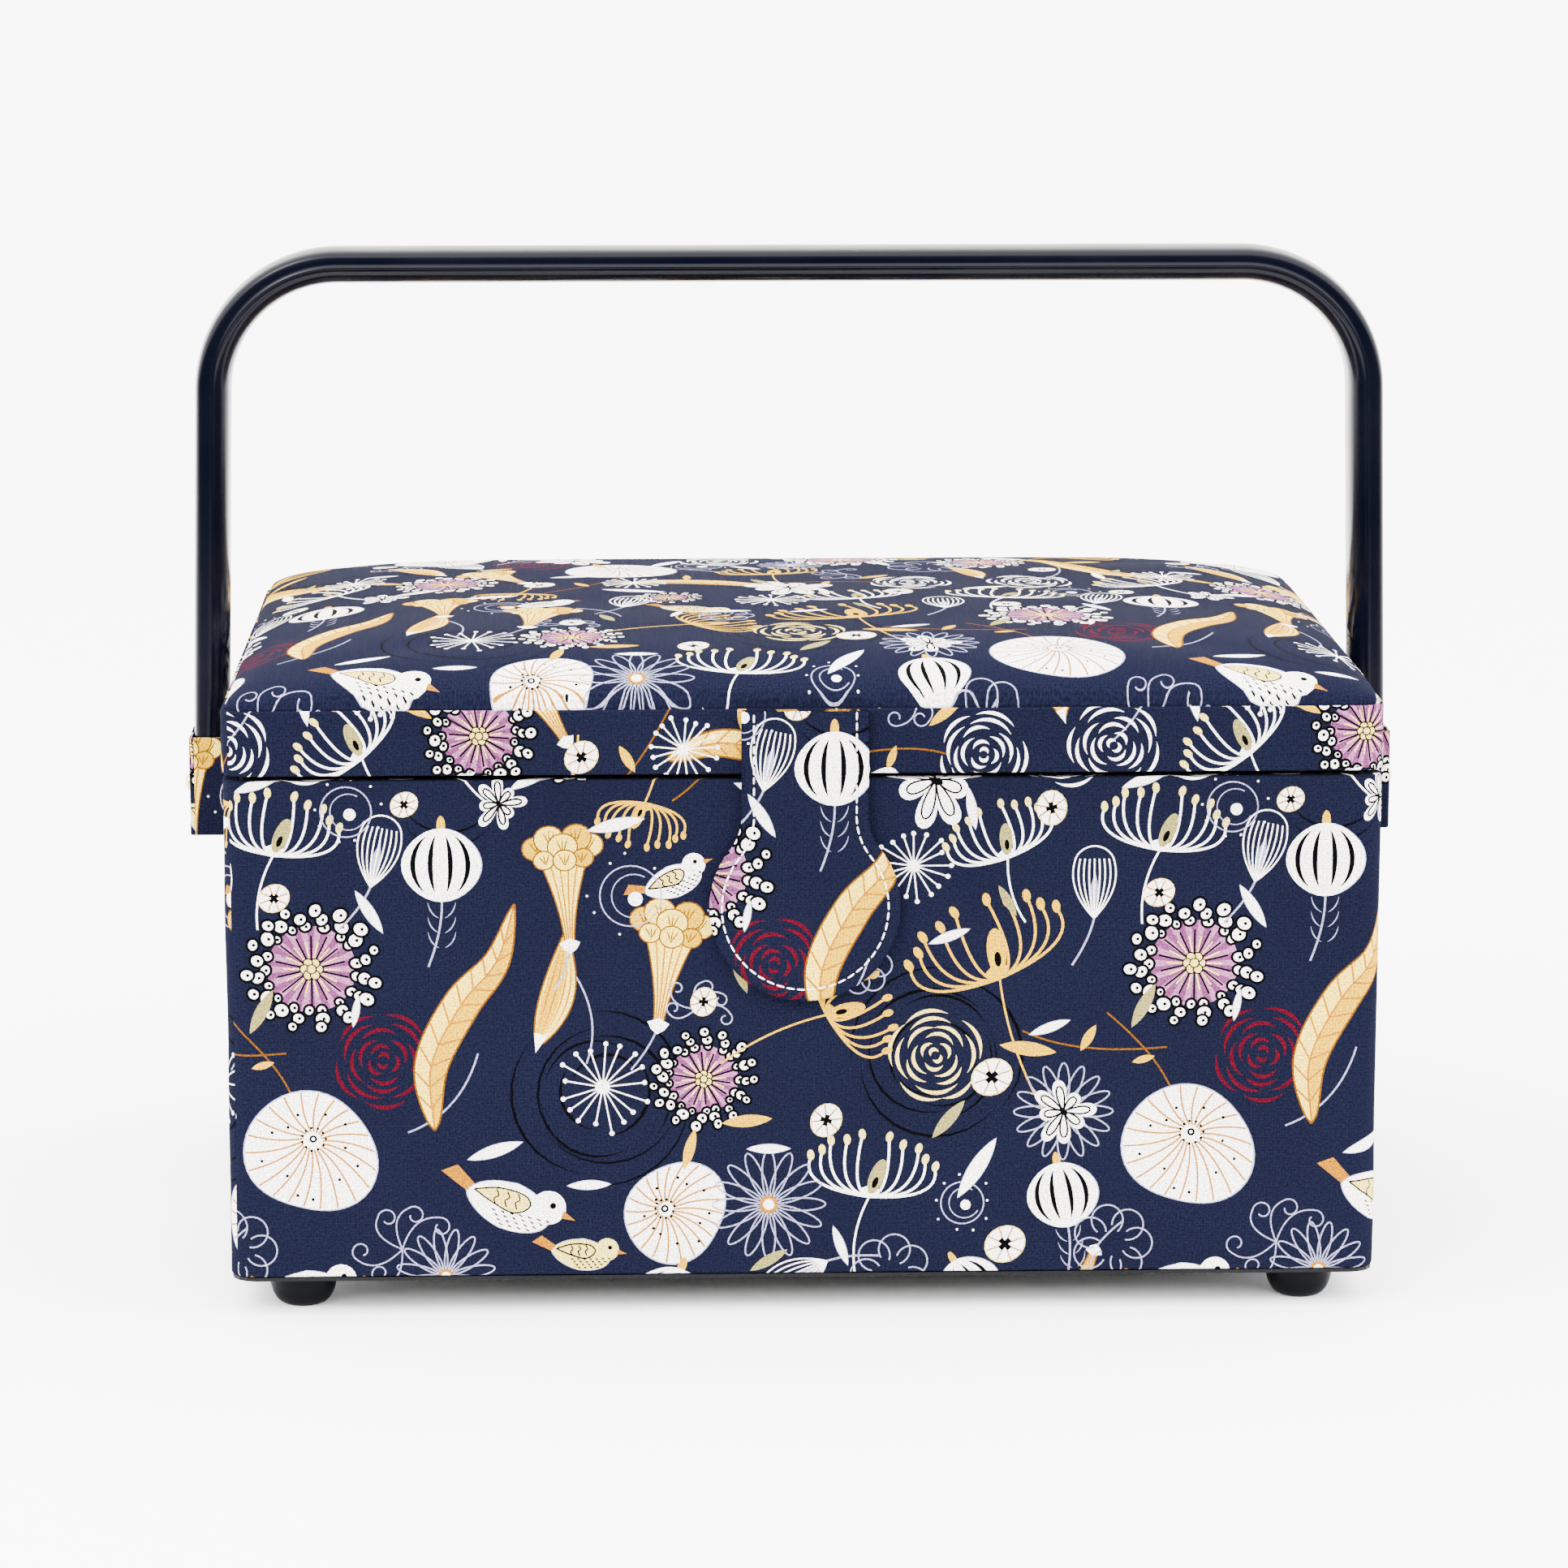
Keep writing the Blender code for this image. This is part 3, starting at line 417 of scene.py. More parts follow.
def bird(r, rng, body="white", tail="orange"):
    """A plain little bird seen from the side: round body, scalloped wing, fan tail, beak."""
    marks = [(np.array([(-1.55, 0.42), (-1.25, 0.62), (-0.72, 0.24), (-0.78, 0.05)]) * r, tail)]
    a = np.arange(34) * TAU / 34
    hull = np.stack([0.9 * r * np.cos(a) - 0.05 * r, r * (0.5 * np.sin(a) - 0.12 * np.cos(a))], 1)
    hull[:, 1] += np.where(hull[:, 0] > 0, 0.02 * r, -0.1 * hull[:, 0] * np.sign(0.2 - hull[:, 1] / r))
    marks += [(hull * 1.03, "lilac"), (hull, body), (oval(0.78 * r, 0.16 * r, 0.36 * r, count=18), body)]
    marks.append((np.array([(1.1, 0.16), (1.38, 0.02), (1.08, 0.0)]) * r, "orange"))
    for row in range(4):
        for k in range(7 - row):
            x, y = (-0.35 + 0.19 * k + 0.07 * row) * r, (-0.12 - 0.09 * row) * r
            marks += line([(x, y), (x + 0.04 * r, y - 0.02 * r), (x + 0.08 * r, y - 0.03 * r)], 0.42, "black")
    wing = along([(-0.8, 0.2), (-0.3, 0.34), (0.25, 0.3), (0.4, 0.08), (0.1, -0.12), (-0.4, 0.02),
                  (-0.8, 0.2)], 22)
    marks.append((wing[:-1] * r, "cream"))
    marks += line(wing * r, 0.45, "black")
    for x in (-0.35, -0.12, 0.1):
        feather = along([(x, 0.3), (x + 0.07, 0.18), (x - 0.01, 0.1), (x + 0.05, -0.03)], 9)
        marks += line(feather * r, 0.42, "black")
    marks += dot("black", 0.86 * r, 0.22 * r, 0.07 * r, count=8)
    return marks


def small_bird(r, rng):
    return bird(r, rng, "cream", "orange")


def seed_head(r, rng):
    """A narrow sheaf of white lines that spread from one foot, on a stem."""
    marks = line(bend((0, -0.6 * r), (-0.1 * r, -1.1 * r), (-0.5 * r, -1.7 * r), 9), 0.55, "lilac")
    marks.append((np.array([(-0.02, -0.62), (0.1, 0.1), (0.02, 0.5), (-0.1, 0.1)]) * r, "lilac"))
    for k in range(-4, 5):
        x = 0.11 * k * r
        marks += line(bend((0, -0.6 * r), (1.5 * x, 0.1 * r), (x, 0.8 * r), 12), 0.42, "white")
    marks += line(arc(0, 0.62 * r, 0.48 * r, 22, 158), 0.42, "white")
    return marks


def curls(r, rng):
    """Thin white tendrils that end in small spirals."""
    marks = []
    for turn, far in ((0, 1.0), (35, 0.8), (150, 0.9), (190, 0.7), (78, 0.75)):
        rise = bend((0, 0), (0.35 * r * far, 0.7 * r), (0.9 * r * far, 0.55 * r), 12)
        a = np.radians(np.linspace(90, -230, 14))
        shrink = np.linspace(0.22, 0.10, 14) * r
        hook = np.stack([0.9 * r * far + shrink * np.cos(a), 0.55 * r - 0.22 * r + shrink * np.sin(a)], 1)
        marks += line(turned(np.concatenate([rise[:-1], hook]), turn), 0.4, "lilac")
    return marks


def bubbles(r, rng):
    """Thin rings with a dot in them and a sprinkle of specks."""
    ring = arc(0, 0, r, 0, 360, 33)
    marks = line(ring, 0.38, "lilac") + line(arc(0.1 * r, 0, 0.72 * r, 60, 330, 21), 0.3, "lilac")
    marks += dot("white", 0.15 * r, -0.1 * r, 0.24 * r, count=14)
    for k in range(9):
        x, y = turned((r * (1.15 + 0.3 * rng.random()), 0), k * 40 + 20 * rng.random())
        marks += dot("white", x, y, 0.36, count=7)
    return marks


def scallops(r, rng):
    """A cloud of open loops."""
    marks = []
    for k in range(7):
        x, y = turned((0.62 * r, 0), k * 51)
        marks += line(arc(x, y, 0.4 * r, k * 51 - 150, k * 51 + 130, 21), 0.42, "lilac")
    return marks


def petal(r, rng, ink="white", width=0.42, curve=0.0):
    """One loose pointed leaf, lilac at its edge when it is white."""
    shape = leaf(2 * r, width * r, ink, 0, curve * r)[0][0] - (r, 0)
    under = [(shape * (1 + 0.25 / r, 1 + 0.9 / r), "lilac")] if ink == "white" else []
    return under + [(shape, ink)]


def orange_petal(r, rng):
    return petal(r, rng, "yellow", 0.5)


def sage_petal(r, rng):
    return petal(r, rng, "sage", 0.5)


def vine(r, rng):
    """An orange stem with one leaf."""
    marks = line(bend((-r, -0.6 * r), (-0.1 * r, -0.4 * r), (r, 0.7 * r), 14), 0.5, "rust")
    marks += [(p + (-0.05 * r, -0.25 * r), c) for p, c in leaf(0.5 * r, 0.16 * r, "yellow", 100)]
    return marks


def white_vine(r, rng):
    return line(bend((-r, -0.5 * r), (0.2 * r, -0.5 * r), (r, 0.6 * r), 14), 0.5, "lilac")


def sweeps(r, rng):
    """Long black brush arcs."""
    marks = []
    for k in range(3):
        marks += crescent(0, (0.9 - 0.2 * k) * r, r * (1 + 0.06 * k), 215 + 6 * k, 322 - 5 * k, 0.75, "black")
    return marks


# One repeat of the print in painter's order: a motif, then for each time that it is drawn there
# its place across and up, its size and its turn, in millimetres and degrees.
REPEAT = (244.0, 232.0)
MOTIF_REACH = 60   # no motif reaches farther out of its repeat
LAYOUT = (
    (ripples, (104, 52, 25, 10), (196, 62, 24, 200), (60, 196, 24, 70)),
    (sweeps, (62, 128, 15, 0), (226, 178, 15, 185), (150, 214, 14, 20), (2, 214, 12, 0)),
    (vine, (10, 62, 13, 95), (240, 66, 17, -40), (136, 150, 17, 20), (206, 150, 14, 150)),
    (white_vine, (98, 74, 12, 70), (60, 52, 13, 20), (30, 168, 14, 40), (168, 176, 13, 120),
      (140, 96, 9, 100)),
    (red_rose, (43, 62, 13.5, 0)),
    (cream_rose, (196, 62, 13, 40)),
    (rose_swirl, (176, 202, 12, 0), (24, 152, 12.5, 60), (232, 150, 12, 10)),
    (red_rose, (120, 196, 13, 90)),
    (umbel, (24, 88, 18.5, 0), (132, 56, 14.5, 30), (94, 156, 15.5, 60), (214, 206, 17, 10),
      (12, 196, 14, 20), (160, 122, 10, 45)),
    (parasol, (23, 36, 17.5, 0), (124, 18, 14, 80), (146, 178, 15.5, 20), (92, 216, 14, 200)),
    (stamens, (14, 120, 17, -8), (178, 22, 17.5, -6), (62, 150, 16, 40), (216, 118, 15, 20)),
    (yellow_stamens, (166, 74, 17, -62), (214, 84, 22, 22), (36, 214, 17, -30), (192, 168, 15, 12),
      (116, 134, 12, 170)),
    (bulb, (60, 117, 11, 0), (232, 22, 10, 10), (122, 224, 11, -20), (206, 228, 9, 30)),
    (plume, (68, 74, 33, -6), (44, 186, 28, 60), (172, 148, 26, -80)),
    (blade, (90, 82, 17, -14), (84, 186, 14, 40), (6, 172, 13, 20)),
    (trumpet, (94, 112, 18, 4), (122, 90, 19, -8), (110, 168, 16, 30), (236, 224, 15, 160)),
    (burst, (104, 54, 13.5, 0), (190, 116, 11, 0), (66, 170, 10, 0), (150, 152, 10, 0)),
    (loops, (150, 20, 16, 0)),
    (looped_daisy, (232, 46, 14, 0)),
    (loops, (60, 232, 14, 10), (198, 190, 10, 0)),
    (daisy, (196, 140, 15, 20), (132, 206, 13, 50), (76, 134, 8, 0)),
    (bird, (78, 20, 13.5, -14)),
    (small_bird, (98, 6, 9, 0)),
    (bird, (22, 228, 12, 10)),
    (small_bird, (166, 100, 10, -20)),
    (bird, (124, 112, 9, 30)),
    (small_bird, (182, 222, 11, 8)),
    (seed_head, (42, 118, 12, -12), (148, 112, 12, -10), (100, 194, 12, 30), (240, 108, 12, 0),
      (160, 232, 12, 120)),
    (curls, (48, 8, 13, 10), (130, 76, 9, -40), (214, 168, 11, 60), (80, 200, 10, 190)),
    (bubbles, (112, 108, 8.5, 0), (204, 20, 6, 0), (34, 132, 7, 0), (170, 188, 7, 0)),
    (scallops, (240, 186, 13, 0), (184, 232, 11, 30), (2, 8, 11, 0), (176, 88, 8, 0)),
    (button, (14, 108, 4.5, 0), (132, 78, 4.2, 40), (212, 56, 6, 0), (166, 44, 5, 30), (216, 8, 6, 0),
      (50, 134, 4, 0), (122, 150, 5, 10), (30, 178, 4.5, 0), (228, 132, 5, 60), (196, 216, 4.5, 20),
      (74, 204, 4, 0)),
    (petal, (40, 104, 7, -58), (108, 128, 8, 12), (74, 36, 8, 18), (36, 76, 4.5, 80), (100, 26, 6, 2),
      (176, 96, 7.5, 2), (150, 36, 6, 0), (208, 30, 10, 58), (170, 8, 6, -70), (200, 96, 6, 20),
      (162, 92, 5, 70), (228, 70, 6, 20), (150, 136, 10, 160), (86, 142, 8, 30), (46, 166, 7, 100),
      (132, 166, 7, 10), (20, 208, 8, 150), (110, 214, 6, 90), (160, 196, 9, 60), (226, 194, 6, 110),
      (74, 180, 5, 0), (184, 184, 6, 140), (10, 140, 7, 20), (206, 132, 6, 100)),
    (orange_petal, (222, 64, 8, -8), (144, 44, 7, 5), (128, 36, 6, 75), (44, 200, 7, 30),
      (140, 190, 6, 110), (76, 164, 6, 150), (222, 162, 6, 40), (166, 162, 5, 90)),
    (sage_petal, (10, 76, 7, 62), (142, 86, 6, 110), (200, 44, 7, 50), (216, 106, 5, -60),
      (150, 4, 6, 30), (108, 184, 6, 20), (52, 176, 5, 70), (188, 152, 6, 120), (236, 206, 5, 10)),
)


def print_marks():
    """Every mark of one repeat in painter's order, as polygons in the cloth's millimetres."""
    rng = np.random.default_rng(7)
    marks = []
    for motif, *places in LAYOUT:
        for x, y, size, turn in places:
            for points, ink in motif(size, rng):
                marks.append((turned(points, turn) + (x, y), INK_ORDER.index(ink)))
    return marks


PRINT = print_marks()
PRINT_BOXES = np.array([[*p.min(0), *p.max(0)] for p, _ in PRINT])


def marks_within(low, high):
    """The marks of all repeats that reach into a window of the cloth, and their colours."""
    found = []
    first = [math.floor((low[k] - MOTIF_REACH) / REPEAT[k]) for k in (0, 1)]
    last = [math.ceil((high[k] + MOTIF_REACH) / REPEAT[k]) for k in (0, 1)]
    for i in range(first[0], last[0]):
        for j in range(first[1], last[1]):
            move = np.array([i * REPEAT[0], j * REPEAT[1]])
            near = ((PRINT_BOXES[:, 2:] + move > low) & (PRINT_BOXES[:, :2] + move < high)).all(1)
            for k in np.flatnonzero(near):
                found.append((k, PRINT[k][0] + move, PRINT[k][1]))
    found.sort(key=lambda m: m[0])
    return [(p, ink) for _, p, ink in found]


# ---- pieces ---------------------------------------------------------------------------
def add_piece(name, mesh, material, body, stands_for=()):
    """A finished mesh as a piece that rides on a body."""
    piece = bpy.data.objects.new(name, mesh)
    bpy.context.scene.collection.objects.link(piece)
    mesh.materials.clear()
    mesh.materials.append(material)
    if body:
        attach(piece, body)
    if stands_for:
        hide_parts(*stands_for)
    return piece


def put_ink(mesh, inks):
    """Each triangle's ink as a colour on its corners, so that the print's edges stay sharp."""
    table = np.array([[*INKS[n], 1.0] for n in INK_ORDER], np.float32)
    layer = mesh.color_attributes.new("ink", "FLOAT_COLOR", "CORNER")
    layer.data.foreach_set("color", np.repeat(table[inks], 3, axis=0).ravel())


def anticlockwise(points):
    """The polygon with its points running anticlockwise."""
    x, y = points[:, 0], points[:, 1]
    return points if (x * np.roll(y, -1) - y * np.roll(x, -1)).sum() > 0 else points[::-1]


def holds(reach, at):
    """Whether a point lies in a polygon's bounding rectangle."""
    return reach[0] <= at[0] <= reach[2] and reach[1] <= at[1] <= reach[3]


def printed_cloth(name, edge, place, cut_from, points=None, lines=(), step=6.0):
    """A piece of printed cloth.

    The print is cut into triangles along every edge of ink inside the piece's outline, and
    place(points) lays those points, in the piece's own millimetres, on the surface in metres.
    cut_from is where the piece's own zero lies in the print. points and lines are extra corners
    and edges for the triangles, where the surface bends.
    """
    shift = np.array(cut_from, float)
    low, high = edge.min(0), edge.max(0)
    marks = [(p - shift, ink) for p, ink in marks_within(low + shift, high + shift)]
    grid = np.stack(np.meshgrid(np.arange(low[0] + step / 2, high[0], step),
                                np.arange(low[1] + step / 2, high[1], step)), -1).reshape(-1, 2)
    polygons = [anticlockwise(p) for p in [edge] + [p for p, _ in marks]]
    loose = [grid] if points is None else [grid, points]
    ends = [np.array(pair, float) for pair in lines]
    stack = np.concatenate(polygons + ends + loose)
    starts = np.cumsum([0] + [len(p) for p in polygons])
    faces = [list(range(a, b)) for a, b in zip(starts[:-1], starts[1:])]
    edges = [(int(starts[-1]) + 2 * k, int(starts[-1]) + 2 * k + 1) for k in range(len(ends))]
    flat, _, triangles, _, _, sources = delaunay_2d_cdt([Vector(p) for p in stack], edges, faces, 0, 1e-4)
    flat = np.array([tuple(p) for p in flat])
    inks = [0] + [ink for _, ink in marks]
    reach = np.array([[*p.min(0), *p.max(0)] for p in polygons]).tolist()
    middle = flat[np.array(triangles)].mean(1).tolist()
    kept = [(t, inks[max(k for k in s if holds(reach[k], at))])
            for t, s, at in zip(triangles, sources, middle) if 0 in s and holds(reach[0], at)]
    triangles = np.array([t for t, _ in kept])
    colours = np.array([c for _, c in kept])
    a, b, c = (flat[triangles[:, k]] for k in range(3))
    area = (b[:, 0] - a[:, 0]) * (c[:, 1] - a[:, 1]) - (b[:, 1] - a[:, 1]) * (c[:, 0] - a[:, 0])
    good = area > 1e-6
    triangles, colours = triangles[good], colours[good]
    used, triangles = np.unique(triangles, return_inverse=True)
    flat, triangles = flat[used], triangles.reshape(-1, 3)

    mesh = bpy.data.meshes.new(name)
    mesh.from_pydata(place(flat), [], triangles)
    uv = mesh.uv_layers.new(name="cloth")
    uv.data.foreach_set("uv", ((flat + shift) * MM)[triangles.ravel()].astype(np.float32).ravel())
    put_ink(mesh, colours)
    nudge = 0.05
    du = place(flat + (nudge, 0)) - place(flat - (nudge, 0))
    dv = place(flat + (0, nudge)) - place(flat - (0, nudge))
    normals = np.cross(du, dv)
    normals /= np.maximum(np.linalg.norm(normals, axis=1), 1e-12)[:, None]
    mesh.shade_smooth()
    mesh.normals_split_custom_set_from_vertices(normals)
    return mesh


def surface(name, grid, closed_u=False, closed_v=False, caps=False):
    """A grid of points (rows, columns, 3) as quads, joined round where it is closed."""
    rows, cols = grid.shape[:2]
    index = np.arange(rows * cols).reshape(rows, cols)
    if closed_u:
        index = np.concatenate([index, index[:1]])
    if closed_v:
        index = np.concatenate([index, index[:, :1]], axis=1)
    quads = np.stack([index[:-1, :-1], index[:-1, 1:], index[1:, 1:], index[1:, :-1]], -1).reshape(-1, 4)
    faces = quads.tolist()
    if caps:
        faces += [index[0, :cols][::-1].tolist(), index[-1, :cols].tolist()]
    mesh = bpy.data.meshes.new(name)
    mesh.from_pydata(grid.reshape(-1, 3), [], faces)
    mesh.shade_smooth()
    return mesh


def rounded_path(s, half_w, half_d, radius):
    """Points and outward directions round a rectangle with round corners.

    s runs anticlockwise from the left end of the front's straight part, in metres.
    """
    runs = [2 * (half_w - radius), 2 * (half_d - radius)]
    bend_length = radius * math.pi / 2
    stops = np.cumsum([0] + [runs[0], bend_length, runs[1], bend_length] * 2)
    s = np.mod(s, stops[-1])
    part = np.clip(np.searchsorted(stops, s, side="right") - 1, 0, 7)
    rest = s - stops[part]
    quarter = part // 2
    on_bend = part % 2 == 1
    angle = np.radians(-90.0) + quarter * np.pi / 2 + np.where(on_bend, rest / radius, 0)
    out = np.stack([np.cos(angle), np.sin(angle)], 1)
    centres = np.array([(1, -1), (1, 1), (-1, 1), (-1, -1)]) * (half_w - radius, half_d - radius)
    begins = np.array([(-1, -1), (1, -1), (1, 1), (-1, 1)]) * (half_w - radius, half_d - radius)
    heading = np.stack([-out[:, 1], out[:, 0]], 1)
    straight = begins[quarter] + heading * rest[:, None] + out * radius
    return np.where(on_bend[:, None], centres[quarter] + out * radius, straight), out


def hem(z, low, high, r):
    """How far in a cloth edge turns: upright between low and high, then a round of radius r, then level."""
    over = np.maximum(z - high, low - z)
    turn = np.clip(over / r, 0, np.pi / 2)
    level = np.maximum(over - r * np.pi / 2, 0)
    inset = np.where(over > 0, r * (1 - np.cos(turn)) + level, 0)
    height = np.where(over > 0, r * np.sin(turn), 0)
    return inset, np.where(z > high, high + height, np.where(z < low, low - height, z))


def wall_edges(half_w, half_d, radius):
    """Where each wall's cloth starts and ends along the path, with the seams on the corners."""
    width, depth = 2 * (half_w - radius), 2 * (half_d - radius)
    bend_length = radius * math.pi / 2
    marks = np.cumsum([-bend_length / 2, width + bend_length, depth + bend_length, width + bend_length,
                       depth + bend_length])
    return dict(zip(("front", "right", "back", "left"), zip(marks[:-1], marks[1:])))


def make_walls_cloth(label, half, radius, low, high, node, body, cut_from, fold_r, fold_in, material):
    """The printed cloth of four walls, each wall a piece, hemmed in at the top and bottom."""
    ripple = 0.00009

    def place(points):
        s, z = points[:, 0] * MM, points[:, 1] * MM
        xy, out = rounded_path(s, half[0], half[1], radius)
        inset, height = hem(z, low + fold_r, high - fold_r, fold_r)
        wave = ripple * (np.sin(s * 95) * np.sin(z * 120 + 1) + np.sin(s * 41 + 2) * np.sin(z * 67))
        xy = xy - out * (inset + ripple - wave)[:, None]
        return np.column_stack([xy[:, 0], MID_Y + xy[:, 1], height])

    bottom = (low + fold_r - fold_r * math.pi / 2 - fold_in[0]) / MM
    top = (high - fold_r + fold_r * math.pi / 2 + fold_in[1]) / MM
    for side, (start, stop) in wall_edges(half[0], half[1], radius).items():
        start, stop = start / MM, stop / MM
        edge = np.array([(start, bottom), (stop, bottom), (stop, top), (start, top)])
        bend_mm = radius * math.pi / 4 / MM
        ups = [*np.linspace(start, start + bend_mm, 7)[1:], *np.linspace(stop - bend_mm, stop, 7)[:-1]]
        lines = [[(s, bottom), (s, top)] for s in ups]
        for at, sign in ((low + fold_r, -1), (high - fold_r, 1)):
            for k in range(5):
                z = (at + sign * fold_r * k * math.pi / 8) / MM
                lines.append([(start, z), (stop, z)])
        mesh = printed_cloth(f"{label}_{side}", edge, place, cut_from, lines=lines)
        add_piece(f"{label}_{side}", mesh, material, body, (node,))


# ---- materials --------------------------------------------------------------------------
class Shader:
    """A small helper to lay out one node material."""

    def __init__(self, name):
        self.material = bpy.data.materials.new(name)
        self.material.use_nodes = True
        self.tree = self.material.node_tree
        self.bsdf = self.tree.nodes["Principled BSDF"]

    def node(self, kind, inputs=None, **settings):
        made = self.tree.nodes.new(kind)
        for key, value in settings.items():
            setattr(made, key, value)
        for key, value in (inputs or {}).items():
            self.feed(made.inputs[key], value)
        return made

    def feed(self, socket, value):
        if isinstance(value, bpy.types.NodeSocket):
            self.tree.links.new(value, socket)
        else:
            socket.default_value = value

    def set(self, **values):
        for key, value in values.items():
            self.feed(self.bsdf.inputs[key.replace("_", " ")], value)

    def math(self, operation, a, b=0.0):
        return self.node("ShaderNodeMath", {0: a, 1: b}, operation=operation).outputs[0]

    def mix(self, factor, a, b, blend="MIX"):
        made = self.node("ShaderNodeMix", data_type="RGBA", blend_type=blend)
        for key, value in ((0, factor), (6, a), (7, b)):
            self.feed(made.inputs[key], value)
        return made.outputs[2]

    def ramp(self, value, low, high, out_low, out_high):
        ends = {0: value, 1: low, 2: high, 3: out_low, 4: out_high}
        return self.node("ShaderNodeMapRange", ends).outputs[0]

    def between(self, value, low, high, a, b, most=1.0):
        """Colour a, turning into colour b by at most this share as the value goes from low to high."""
        return self.mix(self.ramp(value, low, high, 0.0, most), colour(a), colour(b))

    def toned(self, base, shade):
        """The base colour made darker or lighter by a grey."""
        grey = self.node("ShaderNodeCombineColor", {0: shade, 1: shade, 2: shade}).outputs[0]
        return self.mix(1.0, base, grey, "MULTIPLY")

    def stretched(self, scale):
        """Object coordinates, scaled along each axis."""
        return self.node("ShaderNodeMapping", {"Vector": self.place(), "Scale": scale}).outputs[0]

    def bump(self, height, distance, strength=1.0, normal=None):
        made = self.node("ShaderNodeBump", {"Height": height, "Distance": distance, "Strength": strength})
        if normal:
            self.feed(made.inputs["Normal"], normal)
        return made.outputs[0]

    def place(self, kind="Object"):
        return self.node("ShaderNodeTexCoord").outputs[kind]

    def noise(self, vector, scale, detail=3.0, rough=0.5):
        return self.node("ShaderNodeTexNoise", {"Vector": vector, "Scale": scale, "Detail": detail,
                                                "Roughness": rough}).outputs[0]

    def wave(self, vector, scale, direction, distortion=0.0, detail=1.0):
        return self.node("ShaderNodeTexWave", {"Vector": vector, "Scale": scale, "Distortion": distortion,
                                               "Detail": detail}, bands_direction=direction).outputs[1]

    def weave(self, vector, pitch):
        """Crossed threads: two sets of bands, each lifted where the other dips."""
        scale = 0.314 / pitch / 2
        warp = self.wave(vector, scale, "X", 0.6)
        weft = self.wave(vector, scale, "Y", 0.6)
        return self.math("MAXIMUM", self.math("MULTIPLY", warp, warp), self.math("MULTIPLY", weft, weft))


def colour(rgb):
    return (*rgb, 1.0)


def printed_cotton():
    """Printed cotton: the ink, a fine plain weave with painted shade in its dips, paler slubs and a little
    wear.
    """
    s = Shader("printed_cotton")
    cloth = s.node("ShaderNodeUVMap", uv_map="cloth").outputs[0]
    ink = s.node("ShaderNodeVertexColor", layer_name="ink").outputs[0]
    weave = s.weave(cloth, 0.00042)
    speck = s.noise(cloth, 1700.0, 2.0, 0.7)
    cloud = s.noise(cloth, 26.0, 3.0)
    shade = s.math("MULTIPLY", s.ramp(speck, 0.3, 0.72, 0.4, 1.65), s.ramp(cloud, 0.3, 0.7, 0.93, 1.07))
    # Painted shade: the colour is darkened where the weave dips between the threads.
    shade = s.math("MULTIPLY", shade, s.ramp(weave, 0.0, 1.0, 0.82, 1.06))
    shaded = s.toned(ink, shade)
    fuzz = s.ramp(s.noise(cloth, 1300.0, 3.0, 0.7), 0.60, 0.80, 0.0, 0.4)
    s.set(Base_Color=s.mix(fuzz, shaded, colour(LINT)), Roughness=s.ramp(cloud, 0.3, 0.7, 0.78, 0.9),
          Sheen_Weight=0.002, Sheen_Roughness=0.5, Specular_IOR_Level=0.008,
          Normal=s.bump(weave, 0.00008, 0.7, s.bump(speck, 0.00005, 0.5)))
    return s.material


def woven(name, rgb, pitch, depth=0.0001, sheen=0.05, dirt=0.12, shine=0.1):
    """Plain woven cloth on object coordinates, with slubs, painted shade in the weave's dips and a soft
    change of tone.
    """
    s = Shader(name)
    here = s.place()
    weave = s.weave(here, pitch)
    slub = s.noise(here, 420.0, 4.0, 0.6)
    cloud = s.noise(here, 14.0, 3.0)
    # The slubs vary the tone at random; the weave term is painted shade, darker where the threads dip.
    shade = s.math("MULTIPLY", s.ramp(slub, 0.3, 0.7, 1 - dirt, 1 + dirt), s.ramp(weave, 0.0, 1.0, 0.8, 1.05))
    shade = s.math("MULTIPLY", shade, s.ramp(cloud, 0.3, 0.7, 0.94, 1.04))
    s.set(Base_Color=s.toned(colour(rgb), shade), Roughness=s.ramp(slub, 0.3, 0.7, 0.8, 0.95),
          Sheen_Weight=sheen, Specular_IOR_Level=shine,
          Normal=s.bump(weave, depth, 0.8, s.bump(slub, depth, 0.4)))
    return s.material


def moulded(name, rgb, rough, grain, depth, shine=0.5):
    """Moulded plastic: fine grain, faint swirl in the colour and rubbed patches."""
    s = Shader(name)
    here = s.place()
    fine = s.noise(here, grain, 3.0, 0.6)
    broad = s.noise(here, 24.0, 3.0)
    tint = s.between(broad, 0.35, 0.7, rgb, [min(1, 1.35 * c + 0.0004) for c in rgb], 0.35)
    s.set(Base_Color=s.mix(s.ramp(fine, 0.45, 0.75, 0.0, 0.12), tint, colour([0.6 * c for c in rgb])),
          Roughness=s.ramp(broad, 0.3, 0.7, rough - 0.05, rough + 0.08), Specular_IOR_Level=shine,
          Normal=s.bump(fine, depth, 0.5))
    return s.material


def metal(name, rgb, rough, brush):
    """Worn metal: fine scratches along one way, tarnish in soft patches."""
    s = Shader(name)
    scratch = s.noise(s.stretched((brush, brush, 6 * brush)), 40.0, 4.0, 0.65)
    tarnish = s.noise(s.place(), 260.0, 4.0, 0.6)
    s.set(Base_Color=s.between(tarnish, 0.42, 0.72, rgb, [0.45 * c for c in rgb], 0.6), Metallic=1.0,
          Roughness=s.ramp(scratch, 0.3, 0.7, rough, rough + 0.16), Normal=s.bump(scratch, 0.00002, 0.4))
    return s.material


